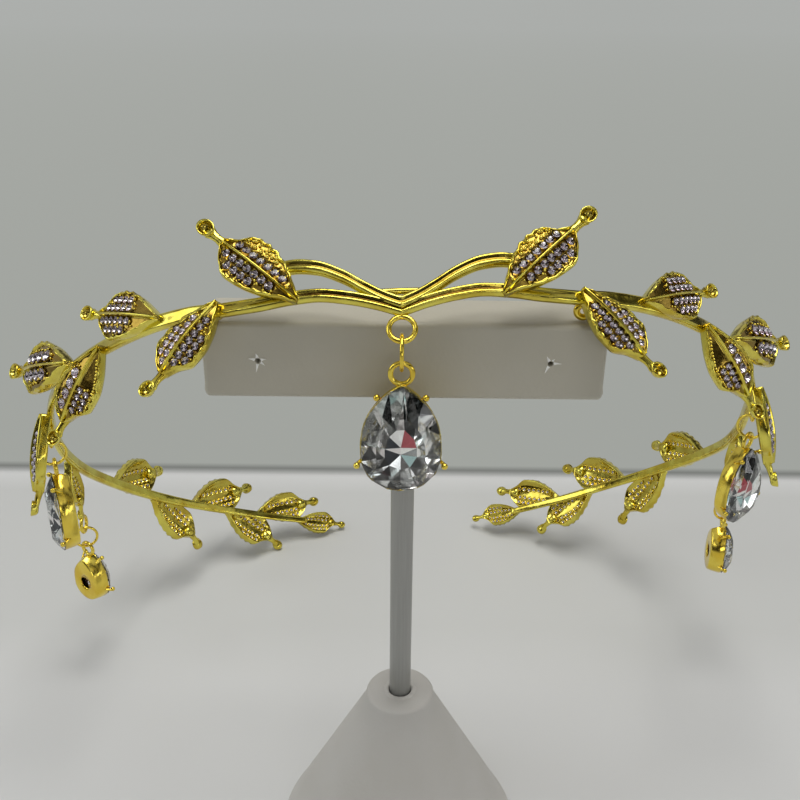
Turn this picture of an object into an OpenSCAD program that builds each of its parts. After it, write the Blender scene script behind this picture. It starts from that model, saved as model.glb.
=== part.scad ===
// Leaf diadem with five pear drops, resting on a T-bar display stand.
// Millimetres, +Z up. The origin is the middle of the stand's foot, the front is towards -Y.
// The diadem itself is drawn in a wearer's frame: x to its right, y rearwards in the band's
// plane, z up a wearer's head. on_stand() then lays it on the bar with its tips on the table.

/* [Stand] */
// Height of the bar's top face above the table
stand_h = 114.3; // [104:0.1:122]
// Length of the bar
bar_len = 63.5; // [60:0.1:72]
// Side of the bar's square section
bar_side = 12.7; // [11:0.1:14]
// Radius along the bar's edges
bar_edge_r = 0.8; // [0.4:0.1:1.5]
// Diameter of the foot
foot_d = 48.5; // [42:0.5:60]
// Height of the cone
cone_h = 36; // [28:0.5:44]
// Diameter of the cone's flat top
cone_top_d = 12.5; // [10:0.1:16]
// Height of the foot's upright rim
foot_rim = 1.2; // [0.6:0.1:3]
// Diameter of the post
post_d = 4.1; // [3.2:0.1:5.4]
// Depth that the post goes into the cone and into the bar
socket_depth = 5; // [3:0.5:8]
// Clearance around the post in its sockets
post_fit = 0.1; // [0.05:0.01:0.2]
// Distance between the two earring holes in the bar
hole_pitch = 46; // [38:0.5:50]
// Diameter of an earring hole
hole_d = 0.9; // [0.6:0.1:1.4]
// Depth of an earring hole
hole_depth = 4; // [2:0.5:6]

/* [Band] */
// Width of the band at the temples
band_w = 154; // [146:0.5:164]
// Depth of the band's whole oval
band_depth = 168; // [160:0.5:180]
// How much flatter than an oval the front is, half way along each front side
front_flat = 2.8; // [2:0.1:3.6]
// Sideways shift of the diadem from the stand's middle
side_shift = -0.6; // [-1.2:0.1:1.2]
// Angle round the oval at which the strap ends in the tip leaf
strap_end = 158; // [154:0.5:160]
// Height of the front's arch above the V
rise = 7.6; // [6.5:0.1:8.5]
// Height of the strap at the sides
strap_h = 3; // [2.4:0.1:3.4]
// Thickness of the strap
strap_t = 1.5; // [1.2:0.1:2]
// Diameter of the front's vines
vine_d = 1.7; // [1.4:0.1:2]
// Diameter of the upper vine
upper_vine_d = 2.2; // [1.8:0.1:2.4]
// Sideways lean of the whole diadem on the bar, in degrees
lean = 2.9; // [0:0.1:4]
// Distance from the bar's front face to the point of the V
front_gap = 2.65; // [2.2:0.05:4]
// Height of the point of the V above the bar's top
front_lift = 4.05; // [3.8:0.05:5]
// Gap between the diadem and what it rests on
rest_gap = 0.15; // [0.05:0.01:0.3]
// Rise of the right arm behind the temple, which is bent up a little
right_arch = 2.4; // [0:0.1:5]
// How far the same arm is bent outwards
right_splay = 6.5; // [0:0.5:7]
// How far the right arm stands out before the temple
right_out = 1.6; // [0:0.1:2]
// Outer diameter of the two small loops that rest on the bar
rest_loop_d = 3.2; // [2.8:0.1:3.8]
// Wire of the rest loops
rest_wire = 1.1; // [0.9:0.1:1.3]
// Distance between the rest loops
rest_pitch = 57; // [50:0.5:58]

/* [Leaves] */
// Length of a full leaf from its point to its neck
leaf_len = 16.4; // [14:0.1:18]
// Width of a full leaf
leaf_w = 9.2; // [8:0.1:10.4]
// Thickness of a leaf's body
leaf_t = 1.5; // [1.2:0.1:2]
// Height of the midrib and rim above the stones' bed
relief = 0.45; // [0.3:0.05:0.6]
// Width of the rim
rim_w = 0.55; // [0.4:0.05:0.8]
// Width of the midrib
rib_w = 0.8; // [0.6:0.05:1]
// How far a leaf's back sinks into the strap that carries it
leaf_sink = 0.9; // [0.7:0.05:1]
// Lengthwise arch of a leaf
leaf_arch = 1.1; // [0.6:0.1:1.6]
// Angle by which each lobe falls back from the midrib
fold = 13; // [8:1:18]
// Distance from the neck to the middle of the cup at the stem's end
stem_len = 3.6; // [3.2:0.1:5]
// Outer diameter of the cup
cup_d = 2.5; // [2.1:0.1:2.8]
// Depth of the cup
cup_h = 1.4; // [1.2:0.1:1.8]
// Wall of the cup
cup_wall = 0.4; // [0.3:0.05:0.5]

/* [Leaf stones] */
// Diameter of a leaf stone
chip_d = 1.45; // [1.2:0.05:1.6]
// Height of a leaf stone
chip_h = 0.75; // [0.6:0.05:0.9]
// Gap between neighbouring stones
chip_gap = 0.45; // [0.35:0.05:0.7]
// Granulated margin between the stones and the rim
margin_w = 0.8; // [0.6:0.05:1]
// Gap between a stone and its bed
bed_gap = 0.13; // [0.1:0.01:0.2]

/* [Rings] */
// Outer diameter of the rings cast on the band
cast_d = 4.8; // [4.6:0.1:5.2]
// Wire of the cast rings
cast_wire = 0.85; // [0.7:0.05:1]
// Outer diameter of the jump rings
jump_d = 5.9; // [5.6:0.1:6.4]
// Wire of the jump rings
jump_wire = 0.65; // [0.55:0.05:0.75]
// Outer diameter of a drop's bail
bail_d = 4.2; // [4:0.1:4.6]
// Wire of the bail
bail_wire = 0.85; // [0.7:0.05:1]
// Clearance between one link and the next
link_gap = 0.14; // [0.1:0.01:0.15]

/* [Drops] */
// Width of the pear stone in the front and temple drops
pear_w = 12.7; // [12:0.1:14]
// Length of the pear stone in the front and temple drops
pear_l = 18.3; // [17:0.1:19]
// Width of the pear stone in the two rear drops
small_w = 9.4; // [9:0.1:10.5]
// Length of the pear stone in the two rear drops
small_l = 13.2; // [13:0.1:15]
// How full the pear's shoulders are, where 1 is a straight-sided point
shoulder = 3; // [1.6:0.1:3.4]
// Height of the crown above the girdle
crown_h = 2.1; // [1.6:0.1:2.5]
// Depth of the stone below the girdle
pavilion_h = 2.6; // [2.2:0.1:2.8]
// Depth of the setting's wall
setting_h = 3.4; // [3.1:0.1:4]
// Thickness of the setting's wall and back
setting_wall = 0.4; // [0.3:0.05:0.5]
// Clearance between the stone and its setting
stone_fit = 0.08; // [0.06:0.01:0.12]
// How far a drop's point stands up into its bail
bail_sink = 0.95; // [0.5:0.05:1]
// Diameter of the hole in the setting's back
back_hole_d = 3.2; // [2.4:0.1:4]
// Diameter of a prong's ball
ball_d = 1.2; // [1:0.1:1.4]

/* [Hidden] */

gold = [0.86, 0.69, 0.22];
white = [0.90, 0.89, 0.86];
clear = [0.85, 0.88, 0.90];
half_w = band_w / 2;
half_depth = band_depth / 2;
bar_front = -bar_side / 2;

// One row per leaf from the V rearwards: the angle round the oval of the leaf's point, that
// point's height as a share of the rise, the angle of the leaf above the strap's direction,
// its size as a share of a full leaf, how far it lifts off the oval, its stones' size and how
// far its face turns to the front about its own length.
LEAVES = [
    // at, height, points, size, lift, stones, turn
    [11.5, 0.18, 42, 0.92, 5, 1.00, 0],
    [20.8, 0.43, -53, 0.84, 7, 1.00, 0],
    [29.1, 0.44, 18, 0.92, -1, 1.00, 0],
    [40.1, 0.38, -49, 0.90, 5, 1.45, 30],
    [50.5, 0.58, 12, 1.10, 8, 1.45, 0],
    [67.0, 0.24, -60, 1.00, 0, 1.00, 0],
    [89.0, 0.06, -42, 0.78, -2, 1.00, 0],
    [106.6, 0.15, 21, 1.12, -3, 1.00, 0],
    [118.3, 0.05, -28, 1.10, -3, 1.00, 0],
    [129.0, 0.19, 20, 1.14, -3, 1.00, 0],
    [137.9, 0.06, -24, 1.04, -3, 1.00, 0],
    [145.7, 0.17, 15, 1.05, -3, 1.00, 0],
    [155.4, -0.03, -2, 0.78, -1, 1.00, 0]];
// Row of LEAVES whose stem carries the rear drop, and the first row that reaches the table
DROP_LEAF = 6;
FIRST_LOW = 8;

// Outline of a leaf from its point to its neck
SECTIONS = [
    // along, upper lobe, lower lobe
    [0.00, 0.10, 0.10],
    [0.15, 0.43, 0.36],
    [0.35, 0.79, 0.73],
    [0.55, 0.97, 0.94],
    [0.73, 0.93, 1.00],
    [0.87, 0.44, 0.72],
    [1.00, 0.13, 0.15]];

// The lower vine and the strap that it becomes, from the V to the tip leaf
STRAP = [
    // angle, height as a share of the rise, section from vine 0 to strap 1, size of the section
    [0, -0.16, 0, 1], [3, 0.03, 0, 1], [6.2, 0.18, 0, 1], [9.6, 0.28, 0, 1], [12.4, 0.29, 0.2, 1],
    [16, 0.26, 0.3, 1], [20.5, 0.30, 0.6, 1], [25, 0.38, 0.9, 1], [31, 0.42, 1, 1], [38, 0.42, 1, 1],
    [46, 0.44, 1, 1], [54, 0.43, 1, 1], [62, 0.39, 1, 1], [70, 0.35, 1, 1], [78, 0.22, 1, 1],
    [86, 0.10, 1, 1], [95, 0.06, 1, 1], [104, 0.09, 1, 1], [113, 0.10, 1, 1], [122, 0.10, 1, 0.95],
    [131, 0.10, 1, 0.9], [140, 0.08, 1, 0.85], [148, 0.04, 1, 0.8]];
STRAP_TIP = [-0.04, 1, 0.7];
// The upper vine, from the V to the back of the first leaf
UPPER = [[0, 0.02], [1.8, 0.16], [3.8, 0.37], [6.5, 0.69], [9.5, 0.93], [12, 1.00], [14.6, 0.98]];
// Angle of the web behind the first leaf, and the angles along the tie bar behind the V
WEB_AT = 13.5;
WEB_REACH = 0.8;
TIE_AT = [-4.1, -1.3, 1.4, 4];

// Temple drop: angle of its cast ring and how far inside the oval the ring lies
TEMPLE_AT = 72;
TEMPLE_IN = 0.4;
// Directions that the drops' stones face, in degrees from the front towards the right
FACE_CENTRE = 0;
FACE_TEMPLE = [42, -64];
FACE_REAR = [80, 150];
// Directions of the side drops' jump rings, which turn less than the drops on them
RING_TEMPLE = [57, -64];
RING_REAR = [92, -65];

// The oval and its directions at an angle t. Within 50 degrees of the V it is pressed
// forwards and a little down by flat(t).
FLAT_TO = 50;
FLAT_DIP = 0.35;
function unit(v) = v / norm(v);
function flat(t) = abs(t) < FLAT_TO ? front_flat * pow(sin(180 / FLAT_TO * t), 2) : 0;
function flat_slope(t) = abs(t) < FLAT_TO ? front_flat * 180 / FLAT_TO * sin(360 / FLAT_TO * t) : 0;
function along(t) = unit([half_w * cos(t), half_depth * sin(t) - flat_slope(t), 0]);
function outward(t) = [along(t).y, -along(t).x, 0];
function oval(t, h, out = 0) = [half_w * sin(t), half_depth * (1 - cos(t)) - flat(t), h - FLAT_DIP * flat(t)]
    + out * outward(t);

// How the right arm is bent out before the temple and again behind it, where an angle on the
// left is below 0
OUT_FROM = 20;
BENT_FROM = 76;
function eased(t, from, rate) = t > from ? pow(sin(min((t - from) * rate, 90)), 2) : 0;
function bent(t) = [right_out * eased(t, OUT_FROM, 5)
    + (right_splay - right_out) * eased(t, BENT_FROM, 2.6), 0,
    t > BENT_FROM ? right_arch * pow(sin((t - BENT_FROM) * 2), 2) : 0];

// A table's rows for both sides, the left ones with their angles turned below 0
function turned(row) = [-row[0], each [for (k = [1:len(row) - 1]) row[k]]];
function both_sides(rows) = [for (i = [len(rows) - 1:-1:1]) turned(rows[i]), each rows];

// How a leaf row lies: its point, its axis and the middle of its cup
leaf_off = strap_t / 2 + leaf_t - leaf_sink;
function leaf_root(row, side) = oval(row[0], row[1] * rise, leaf_off) + bent(side * row[0]);
function leaf_axis(row) = cos(row[4]) * (cos(row[2]) * along(row[0]) + sin(row[2]) * [0, 0, 1])
    + sin(row[4]) * outward(row[0]);
function leaf_reach(row) = (leaf_len + stem_len) * row[3];
function leaf_cup(row, side) = leaf_root(row, side) + leaf_reach(row) * leaf_axis(row);

// The slope of the band: the steepest lie at which no low leaf goes under the table.
// A leaf's lower rim reaches a little lower than its cup.
leaf_relief_room = 0.35;
front_z = stand_h + front_lift;
front_y = bar_front - front_gap;
function mirrored(p, side) = [side * p.x, p.y, p.z];
function lean_of(p) = [p.x * cos(lean) - p.z * sin(lean), p.y, p.x * sin(lean) + p.z * cos(lean)];
function slope_for(p, r) = atan2(p.z, p.y) + asin((front_z - r) / norm([p.y, p.z]));
slope = min([for (side = [-1, 1], i = [FIRST_LOW:len(LEAVES) - 1])
    slope_for(lean_of(mirrored(leaf_cup(LEAVES[i], side), side)), cup_d / 2 + leaf_relief_room + rest_gap)]);

// A point of the wearer's frame, given for the right side, in the stand's frame
function placed(p, side = 1) = let (q = lean_of(mirrored(p, side)))
    [side_shift + q.x, front_y + q.y * cos(slope) + q.z * sin(slope),
        front_z - q.y * sin(slope) + q.z * cos(slope)];

module on_stand() {
    translate([side_shift, front_y, front_z]) rotate([-slope, 0, 0]) rotate([0, -lean, 0]) children();
}

// A closed tube whose sections stand upright across the oval
// points are [angle, height, half thickness, half height, offset outwards]
module upright_tube(points, n = 6) {
    verts = [for (p = points, k = [0:n - 1])
        oval(p[0], p[1] + p[3] * sin(k * 360 / n), p[4] + p[2] * cos(k * 360 / n)) + bent(p[0])];
    last = (len(points) - 1) * n;
    sides = [for (i = [0:len(points) - 2], k = [0:n - 1]) let (a = i * n + k, b = i * n + (k + 1) % n)
        each [[a, b, a + n], [b, b + n, a + n]]];
    polyhedron(verts, concat(sides, [[for (k = [n - 1:-1:0]) k]], [[for (k = [0:n - 1]) last + k]]));
}

// A ring standing in the plane of x and z
module ring(outer_d, wire, sides = 12) {
    rotate([90, 0, 0]) rotate_extrude($fn = sides) translate([(outer_d - wire) / 2, 0])
        circle(d = wire, $fn = 6);
}

// Leaf body: a folded plate with a raised rim and midrib round two sunk lobes
function lobe_fall(v) = -abs(v) * tan(fold);
function leaf_rise(s) = leaf_arch * 4 * s * (1 - s);
function leaf_section(row) = let (up = row[1] * leaf_w / 2, low = row[2] * leaf_w / 2,
    rim_up = max(up - rim_w, up * 0.6), rim_low = max(low - rim_w, low * 0.6),
    rib_up = min(rib_w / 2, rim_up * 0.7), rib_low = min(rib_w / 2, rim_low * 0.7),
    top = leaf_rise(row[0]))
    [for (q = [[-low, relief], [-rim_low, 0], [-rib_low, 0], [0, relief * 1.2], [rib_up, 0],
        [rim_up, 0], [up, relief], [up * 0.9, -leaf_t], [-low * 0.9, -leaf_t]])
        [row[0] * leaf_len, q[0], top + lobe_fall(q[0]) + q[1]]];

module leaf_body() {
    n = 9;
    verts = [for (row = SECTIONS) each leaf_section(row)];
    last = (len(SECTIONS) - 1) * n;
    sides = [for (i = [0:len(SECTIONS) - 2], k = [0:n - 1]) let (a = i * n + k, b = i * n + (k + 1) % n)
        each [[a, b, a + n], [b, b + n, a + n]]];
    polyhedron(verts, concat(sides, [[for (k = [n - 1:-1:0]) k]], [[for (k = [0:n - 1]) last + k]]));
}

// The stem is a pinch of metal that widens from the leaf's neck to a small open cup
module leaf_stem() {
    difference() {
        hull() {
            translate([leaf_len * 0.93, 0, -leaf_t * 0.75]) cube([0.6, 1.4, leaf_t], center = true);
            translate([leaf_len + stem_len, 0, -cup_h / 2]) cylinder(d = cup_d, h = cup_h, $fn = 8);
        }
        translate([leaf_len + stem_len, 0, cup_wall - cup_h / 2])
            cylinder(d = cup_d - 2 * cup_wall, h = cup_h, $fn = 8);
    }
}

// Lays what is drawn in a leaf's own frame (x along, z off the band) on the oval
module at_leaf(row, side) {
    t = row[0];
    root = leaf_root(row, side);
    d = along(t);
    n = outward(t);
    multmatrix([[d.x, 0, n.x, root.x], [d.y, 0, n.y, root.y], [0, 1, 0, root.z]])
        rotate([0, 0, row[2]]) rotate([0, -row[4], 0]) rotate([row[6], 0, 0]) scale(row[3])
            mirror([0, row[2] < 0 ? 1 : 0, 0]) children();
}

module leaves(side) {
    for (row = LEAVES) at_leaf(row, side) {
        leaf_body();
        leaf_stem();
    }
}

// Leaf stones: one row beside the midrib on each lobe, as many as fit between rib and rim.
// lobe is 1 for the upper lobe and 2 for the lower one.
function lobe_width(s, lobe) = lookup(s, [for (row = SECTIONS) [row[0], row[lobe] * leaf_w / 2]]);
function chip_v(d) = rib_w / 2 + bed_gap + d / 2;
function fits(s, lobe, d) = lobe_width(s, lobe) - rim_w - margin_w >= chip_v(d) + d / 2;
function first_fit(lobe, d) = min([for (s = [0.1:0.01:0.6]) if (fits(s, lobe, d)) s]);
function last_fit(lobe, d) = max([for (s = [0.6:0.01:0.92]) if (fits(s, lobe, d)) s]);

module chip(d) {
    translate([0, 0, bed_gap]) hull() cylinder(d1 = d, d2 = d * 0.56, h = chip_h, $fn = 8);
}

module leaf_chips(row, side) {
    d = chip_d * row[5];
    pitch = d + chip_gap;
    at_leaf(row, side) for (lobe = [1, 2]) {
        start = first_fit(lobe, d);
        room = (last_fit(lobe, d) - start) * leaf_len;
        count = floor(room / pitch) + 1;
        for (i = [0:count - 1]) {
            s = start + (room - (count - 1) * pitch) / 2 / leaf_len + i * pitch / leaf_len;
            v = (lobe == 1 ? 1 : -1) * chip_v(d);
            translate([s * leaf_len, v, leaf_rise(s) + lobe_fall(v)])
                rotate([lobe == 1 ? -fold : fold, 0, 0])
                    rotate([0, -atan(leaf_arch * 4 * (1 - 2 * s) / leaf_len), 0]) chip(d);
        }
    }
}

module side_stones(side) {
    color(clear) on_stand() mirror([side > 0 ? 0 : 1, 0, 0])
        for (row = LEAVES) leaf_chips(row, side);
}

// The strap with its lower vine, from one tip through the V to the other
function blended(share, a, b) = a * (1 - share) + b * share;
function strap_section(p) = [p[0], p[1] * rise,
    blended(p[2], vine_d, strap_t) * p[3] / 2, blended(p[2], vine_d, strap_h) * p[3] / 2, 0];
module strap() {
    upright_tube([for (p = both_sides([each STRAP, [strap_end, each STRAP_TIP]])) strap_section(p)]);
}

// The upper vine, with a short web at each end that closes the window below it, and the
// short bar behind the V that ties its two halves
module upper_vine() {
    upright_tube([for (p = both_sides(UPPER)) [p[0], p[1] * rise, upper_vine_d / 2, upper_vine_d / 2, 0]], 8);
    for (side = [-1, 1]) upright_tube([for (t = [WEB_AT - WEB_REACH * side, WEB_AT + WEB_REACH * side])
        [side * t, rise * 0.63, vine_d * 0.36, rise * 0.37, 0.06]]);
    upright_tube([for (t = TIE_AT)
        [t, rise * 0.34, vine_d * 0.32, vine_d * 0.31, -vine_d * 0.45]]);
}

// Cast rings: under the V, under the strap at each temple, and at the stem of the drop leaf
cast_r = (cast_d - cast_wire) / 2;
ring_drop = vine_d / 2 + cast_r - 0.1;
centre_ring_at = [0, 0, -0.16 * rise - ring_drop];
function temple_ring_at(side) = bent(side * TEMPLE_AT) + oval(side * TEMPLE_AT,
    lookup(TEMPLE_AT, [for (p = STRAP) [p[0], p[1]]]) * rise - strap_h / 2 - cast_r + 0.1, -TEMPLE_IN);
rear_row = LEAVES[DROP_LEAF];
rear_out = cup_d / 2 * rear_row[3] + cast_r - 0.15;
function rear_ring_at(side) = leaf_cup(rear_row, side) + rear_out * leaf_axis(rear_row);

module centre_cast_ring() {
    translate(centre_ring_at) ring(cast_d, cast_wire);
}

module temple_ring(side) {
    d = along(side * TEMPLE_AT);
    translate(temple_ring_at(side)) rotate([0, 0, atan2(d.y, d.x)]) ring(cast_d, cast_wire);
    // lug from the strap's inner face to the ring
    upright_tube([for (t = [side * TEMPLE_AT - 0.7, side * TEMPLE_AT + 0.7])
        [t, temple_ring_at(side).z + cast_r + 0.4, (TEMPLE_IN + cast_wire) / 2, 0.7, -TEMPLE_IN / 2]], 8);
}

module rear_ring(side) {
    translate(rear_ring_at(side)) rotate([0, 0, atan2(along(rear_row[0]).y, along(rear_row[0]).x)])
        ring(cast_d, cast_wire);
}

// Small soldered loops behind the front leaves, upright on the bar's top face
module rest_loop(side) {
    t = asin(rest_pitch / 2 / half_w);
    top = placed(oval(t, lookup(t, [for (p = STRAP) [p[0], p[1]]]) * rise), side);
    rest_z = stand_h + rest_gap;
    translate([top.x, top.y + 0.5, rest_z + rest_loop_d / 2]) ring(rest_loop_d, rest_wire, 10);
    hull() {
        translate([top.x, top.y + 0.2, rest_z + rest_loop_d - rest_wire / 2]) sphere(d = rest_wire, $fn = 6);
        translate([top.x, top.y, max(top.z, rest_z + rest_loop_d)]) sphere(d = rest_wire, $fn = 6);
    }
}

module band() {
    color(gold) {
        on_stand() {
            strap();
            upper_vine();
            centre_cast_ring();
            for (side = [-1, 1]) {
                temple_ring(side);
                mirror([side > 0 ? 0 : 1, 0, 0]) {
                    leaves(side);
                    rear_ring(side);
                }
            }
        }
        rest_loop(1);
        rest_loop(-1);
    }
}

// The drops hang straight down. hang_at is the middle of the wire that the jump ring hangs on:
// the lowest point of a cast ring whose own plane is given by its middle and its normal.
function low_point(middle, normal, side) =
    let (n = placed(normal, side) - placed([0, 0, 0], side), d = unit([0, 0, -1] + n.z * n))
    placed(middle, side) + cast_r * d;
centre_hang = low_point(centre_ring_at, [0, -1, 0], 1);
function temple_hang(side) = low_point(temple_ring_at(side), outward(side * TEMPLE_AT), 1);
function rear_hang(side) = low_point(rear_ring_at(side), outward(rear_row[0]), side);

jump_r = (jump_d - jump_wire) / 2;
bail_r = (bail_d - bail_wire) / 2;
// Heights below the hanging wire: jump ring's middle, the wire that the bail hangs on, bail's middle
jump_z = (cast_wire + jump_wire) / 2 + link_gap - jump_r;
sway_z = jump_z - jump_r;
bail_z = sway_z + (jump_wire + bail_wire) / 2 + link_gap - bail_r;

// A drop's own frame: x across, y behind the stone, z up, turned to face its way
module hung(at, face) {
    translate(at) rotate([0, 0, face]) children();
}

module jump_ring(at, face) {
    color(gold) hung(at, face) translate([0, 0, jump_z]) rotate([0, 0, 90])
        rotate([90, 0, 0]) rotate_extrude($fn = 48) translate([jump_r, 0]) circle(d = jump_wire, $fn = 16);
}

// Pear outline, point up, from its round end's middle: an arc and two long sides that bow outwards
PEAR_STEPS = [0.3, 0.52, 0.7, 0.84, 0.93];
function pear_side(s) = 1 - pow(s, shoulder);
function pear(w, l, grow = 0) = let (r = w / 2 + grow, tip = l - w / 2 + grow * 1.3, n = len(PEAR_STEPS))
    concat([for (a = [-180:24:0]) [r * cos(a), r * sin(a)]],
        [for (s = PEAR_STEPS) [r * pear_side(s), tip * s]],
        [[r * 0.08, tip * 0.98], [-r * 0.08, tip * 0.98]],
        [for (i = [1:n]) let (s = PEAR_STEPS[n - i]) [-r * pear_side(s), tip * s]]);

// Height of the round end's middle under the hanging wire, and the girdle's place before it
function pear_z(w, l) = bail_z - bail_r + bail_sink - (l - w / 2 + (stone_fit + setting_wall) * 1.3);
girdle_y = -1;

// The stone: table, crown, girdle and pavilion, facing -y
module pear_stone(at, face, w, l) {
    g = pear(w, l);
    n = len(g);
    mid = (l - w) / 4;
    function loop(k, y) = [for (p = g) [p.x * k, girdle_y + y, mid + (p.y - mid) * k]];
    verts = concat(loop(0.18, pavilion_h), loop(1, 0.1), loop(1, -0.2), loop(0.56, -crown_h));
    sides = [for (i = [0:2], k = [0:n - 1]) let (a = i * n + k, b = i * n + (k + 1) % n)
        each [[a, a + n, b], [b, a + n, b + n]]];
    color(clear) hung(at, face) translate([0, 0, pear_z(w, l)])
        polyhedron(verts, concat(sides, [[for (k = [0:n - 1]) k]], [[for (k = [n - 1:-1:0]) 3 * n + k]]));
}

// Upright plate of a pear outline, from y0 back to y0 + h
module pear_plate(w, l, grow, y0, h) {
    translate([0, y0 + h, 0]) rotate([90, 0, 0]) linear_extrude(h) polygon(pear(w, l, grow));
}

// The setting: wall and back with its hole, prongs with balls, and the bail. Two prongs stand
// at the round end, two on the shoulders, each square to the outline.
LOW_PRONGS = [-14, 194];
HIGH_PRONGS = 0.79;
module setting(at, face, w, l) {
    outer = stone_fit + setting_wall;
    prong = stone_fit + ball_d / 2;
    tip = l - w / 2;
    lie = unit([tip, w / 2 * shoulder * pow(HIGH_PRONGS, shoulder - 1)]);
    spots = [for (a = LOW_PRONGS) [(w / 2 + prong) * cos(a), (w / 2 + prong) * sin(a)],
        for (sx = [-1, 1]) [sx * (w / 2 * pear_side(HIGH_PRONGS) + prong * lie.x),
            tip * HIGH_PRONGS + prong * lie.y]];
    color(gold) hung(at, face) {
        translate([0, 0, pear_z(w, l)]) {
            difference() {
                pear_plate(w, l, outer, girdle_y, setting_h);
                pear_plate(w, l, stone_fit, girdle_y - 1, setting_h - setting_wall + 1);
                translate([0, girdle_y + setting_h + 1, (l - w) / 4]) rotate([90, 0, 0])
                    cylinder(d = back_hole_d, h = setting_wall + 2, $fn = 24);
            }
            for (p = spots) translate([p.x, girdle_y, p.y]) {
                translate([0, 0.9, 0]) rotate([90, 0, 0]) cylinder(d = ball_d * 0.66, h = 1.3, $fn = 16);
                translate([0, -0.4, 0]) sphere(d = ball_d, $fn = 24);
            }
        }
        translate([0, 0, bail_z]) rotate([90, 0, 0]) rotate_extrude($fn = 48) translate([bail_r, 0])
            circle(d = bail_wire, $fn = 16);
        translate([0, 0, bail_z - bail_r - 0.3]) cube([1.3, bail_wire, 0.9], center = true);
    }
}

// Stand: cone foot, post and bar
module stand_base() {
    color(white) difference() {
        rotate_extrude($fn = 96) polygon([[0, 0], [foot_d / 2, 0], [foot_d / 2, foot_rim],
            [cone_top_d / 2 + 0.5, cone_h - 0.9], [cone_top_d / 2, cone_h], [0, cone_h]]);
        translate([0, 0, cone_h - socket_depth]) post_socket();
    }
}

module post_socket() {
    cylinder(d = post_d + 2 * post_fit, h = socket_depth + 1, $fn = 48);
}

module stand_post() {
    color([0.75, 0.75, 0.73]) translate([0, 0, cone_h - socket_depth + post_fit])
        cylinder(d = post_d, h = stand_h - bar_side - cone_h + 2 * (socket_depth - post_fit), $fn = 48);
}

module bar_section() {
    r = bar_edge_r;
    c = bar_side / 2 - r;
    for (x = [-c, c], y = [-c, c]) translate([x, y]) circle(r = r, $fn = 32);
    square([bar_side, 2 * c], center = true);
    square([2 * c, bar_side], center = true);
}

module stand_bar() {
    color(white) difference() {
        translate([-bar_len / 2, 0, stand_h - bar_side / 2]) rotate([90, 0, 90])
            linear_extrude(bar_len) bar_section();
        translate([0, 0, stand_h - bar_side - 1]) post_socket();
        for (x = [-1, 1] * hole_pitch / 2) translate([x, bar_front - 1, stand_h - bar_side / 2])
            rotate([-90, 0, 0]) cylinder(d = hole_d, h = hole_depth + 1, $fn = 24);
    }
}

module leaf_stones_right() { side_stones(1); }
module leaf_stones_left() { side_stones(-1); }

module centre_ring() { jump_ring(centre_hang, FACE_CENTRE); }
module centre_setting() { setting(centre_hang, FACE_CENTRE, pear_w, pear_l); }
module centre_stone() { pear_stone(centre_hang, FACE_CENTRE, pear_w, pear_l); }
module right_temple_ring() { jump_ring(temple_hang(1), RING_TEMPLE[0]); }
module right_temple_setting() { setting(temple_hang(1), FACE_TEMPLE[0], pear_w, pear_l); }
module right_temple_stone() { pear_stone(temple_hang(1), FACE_TEMPLE[0], pear_w, pear_l); }
module left_temple_ring() { jump_ring(temple_hang(-1), RING_TEMPLE[1]); }
module left_temple_setting() { setting(temple_hang(-1), FACE_TEMPLE[1], pear_w, pear_l); }
module left_temple_stone() { pear_stone(temple_hang(-1), FACE_TEMPLE[1], pear_w, pear_l); }
module right_rear_ring() { jump_ring(rear_hang(1), RING_REAR[0]); }
module right_rear_setting() { setting(rear_hang(1), FACE_REAR[0], small_w, small_l); }
module right_rear_stone() { pear_stone(rear_hang(1), FACE_REAR[0], small_w, small_l); }
module left_rear_ring() { jump_ring(rear_hang(-1), RING_REAR[1]); }
module left_rear_setting() { setting(rear_hang(-1), FACE_REAR[1], small_w, small_l); }
module left_rear_stone() { pear_stone(rear_hang(-1), FACE_REAR[1], small_w, small_l); }

stand_base();
stand_post();
stand_bar();
band();
leaf_stones_right();
leaf_stones_left();
centre_ring();
centre_setting();
centre_stone();
right_temple_ring();
right_temple_setting();
right_temple_stone();
left_temple_ring();
left_temple_setting();
left_temple_stone();
right_rear_ring();
right_rear_setting();
right_rear_stone();
left_rear_ring();
left_rear_setting();
left_rear_stone();
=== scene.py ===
import math
import bmesh
import bpy
import numpy as np
from mathutils import Matrix, Vector


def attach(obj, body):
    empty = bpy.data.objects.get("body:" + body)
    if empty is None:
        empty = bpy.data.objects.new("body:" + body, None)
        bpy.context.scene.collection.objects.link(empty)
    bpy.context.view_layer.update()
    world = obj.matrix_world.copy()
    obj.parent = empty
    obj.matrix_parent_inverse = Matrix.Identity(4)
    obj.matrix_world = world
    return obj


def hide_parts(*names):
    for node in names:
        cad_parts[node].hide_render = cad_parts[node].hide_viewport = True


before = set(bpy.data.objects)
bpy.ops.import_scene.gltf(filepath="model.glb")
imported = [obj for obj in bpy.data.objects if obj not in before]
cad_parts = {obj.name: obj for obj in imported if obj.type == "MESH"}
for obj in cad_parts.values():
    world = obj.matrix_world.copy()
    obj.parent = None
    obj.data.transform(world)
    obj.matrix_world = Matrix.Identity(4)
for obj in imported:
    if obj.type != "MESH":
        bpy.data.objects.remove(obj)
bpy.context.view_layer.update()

# ---- Table, light and camera ----
# The pieces stand on a plain pale table. A ceiling light hangs over it, a window is on the
# left, and the room behind the camera is dim, which is what polished gold needs to look gold.
near_tone, mid_tone, edge_tone = (0.68, 0.685, 0.675), (0.63, 0.637, 0.62), (0.72, 0.725, 0.715)
far_tone, high_tone = (0.347, 0.360, 0.335, 1), (0.372, 0.385, 0.370, 1)
far_edge, edge_blur, table_half = 0.1528, 0.004, 60
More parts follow.
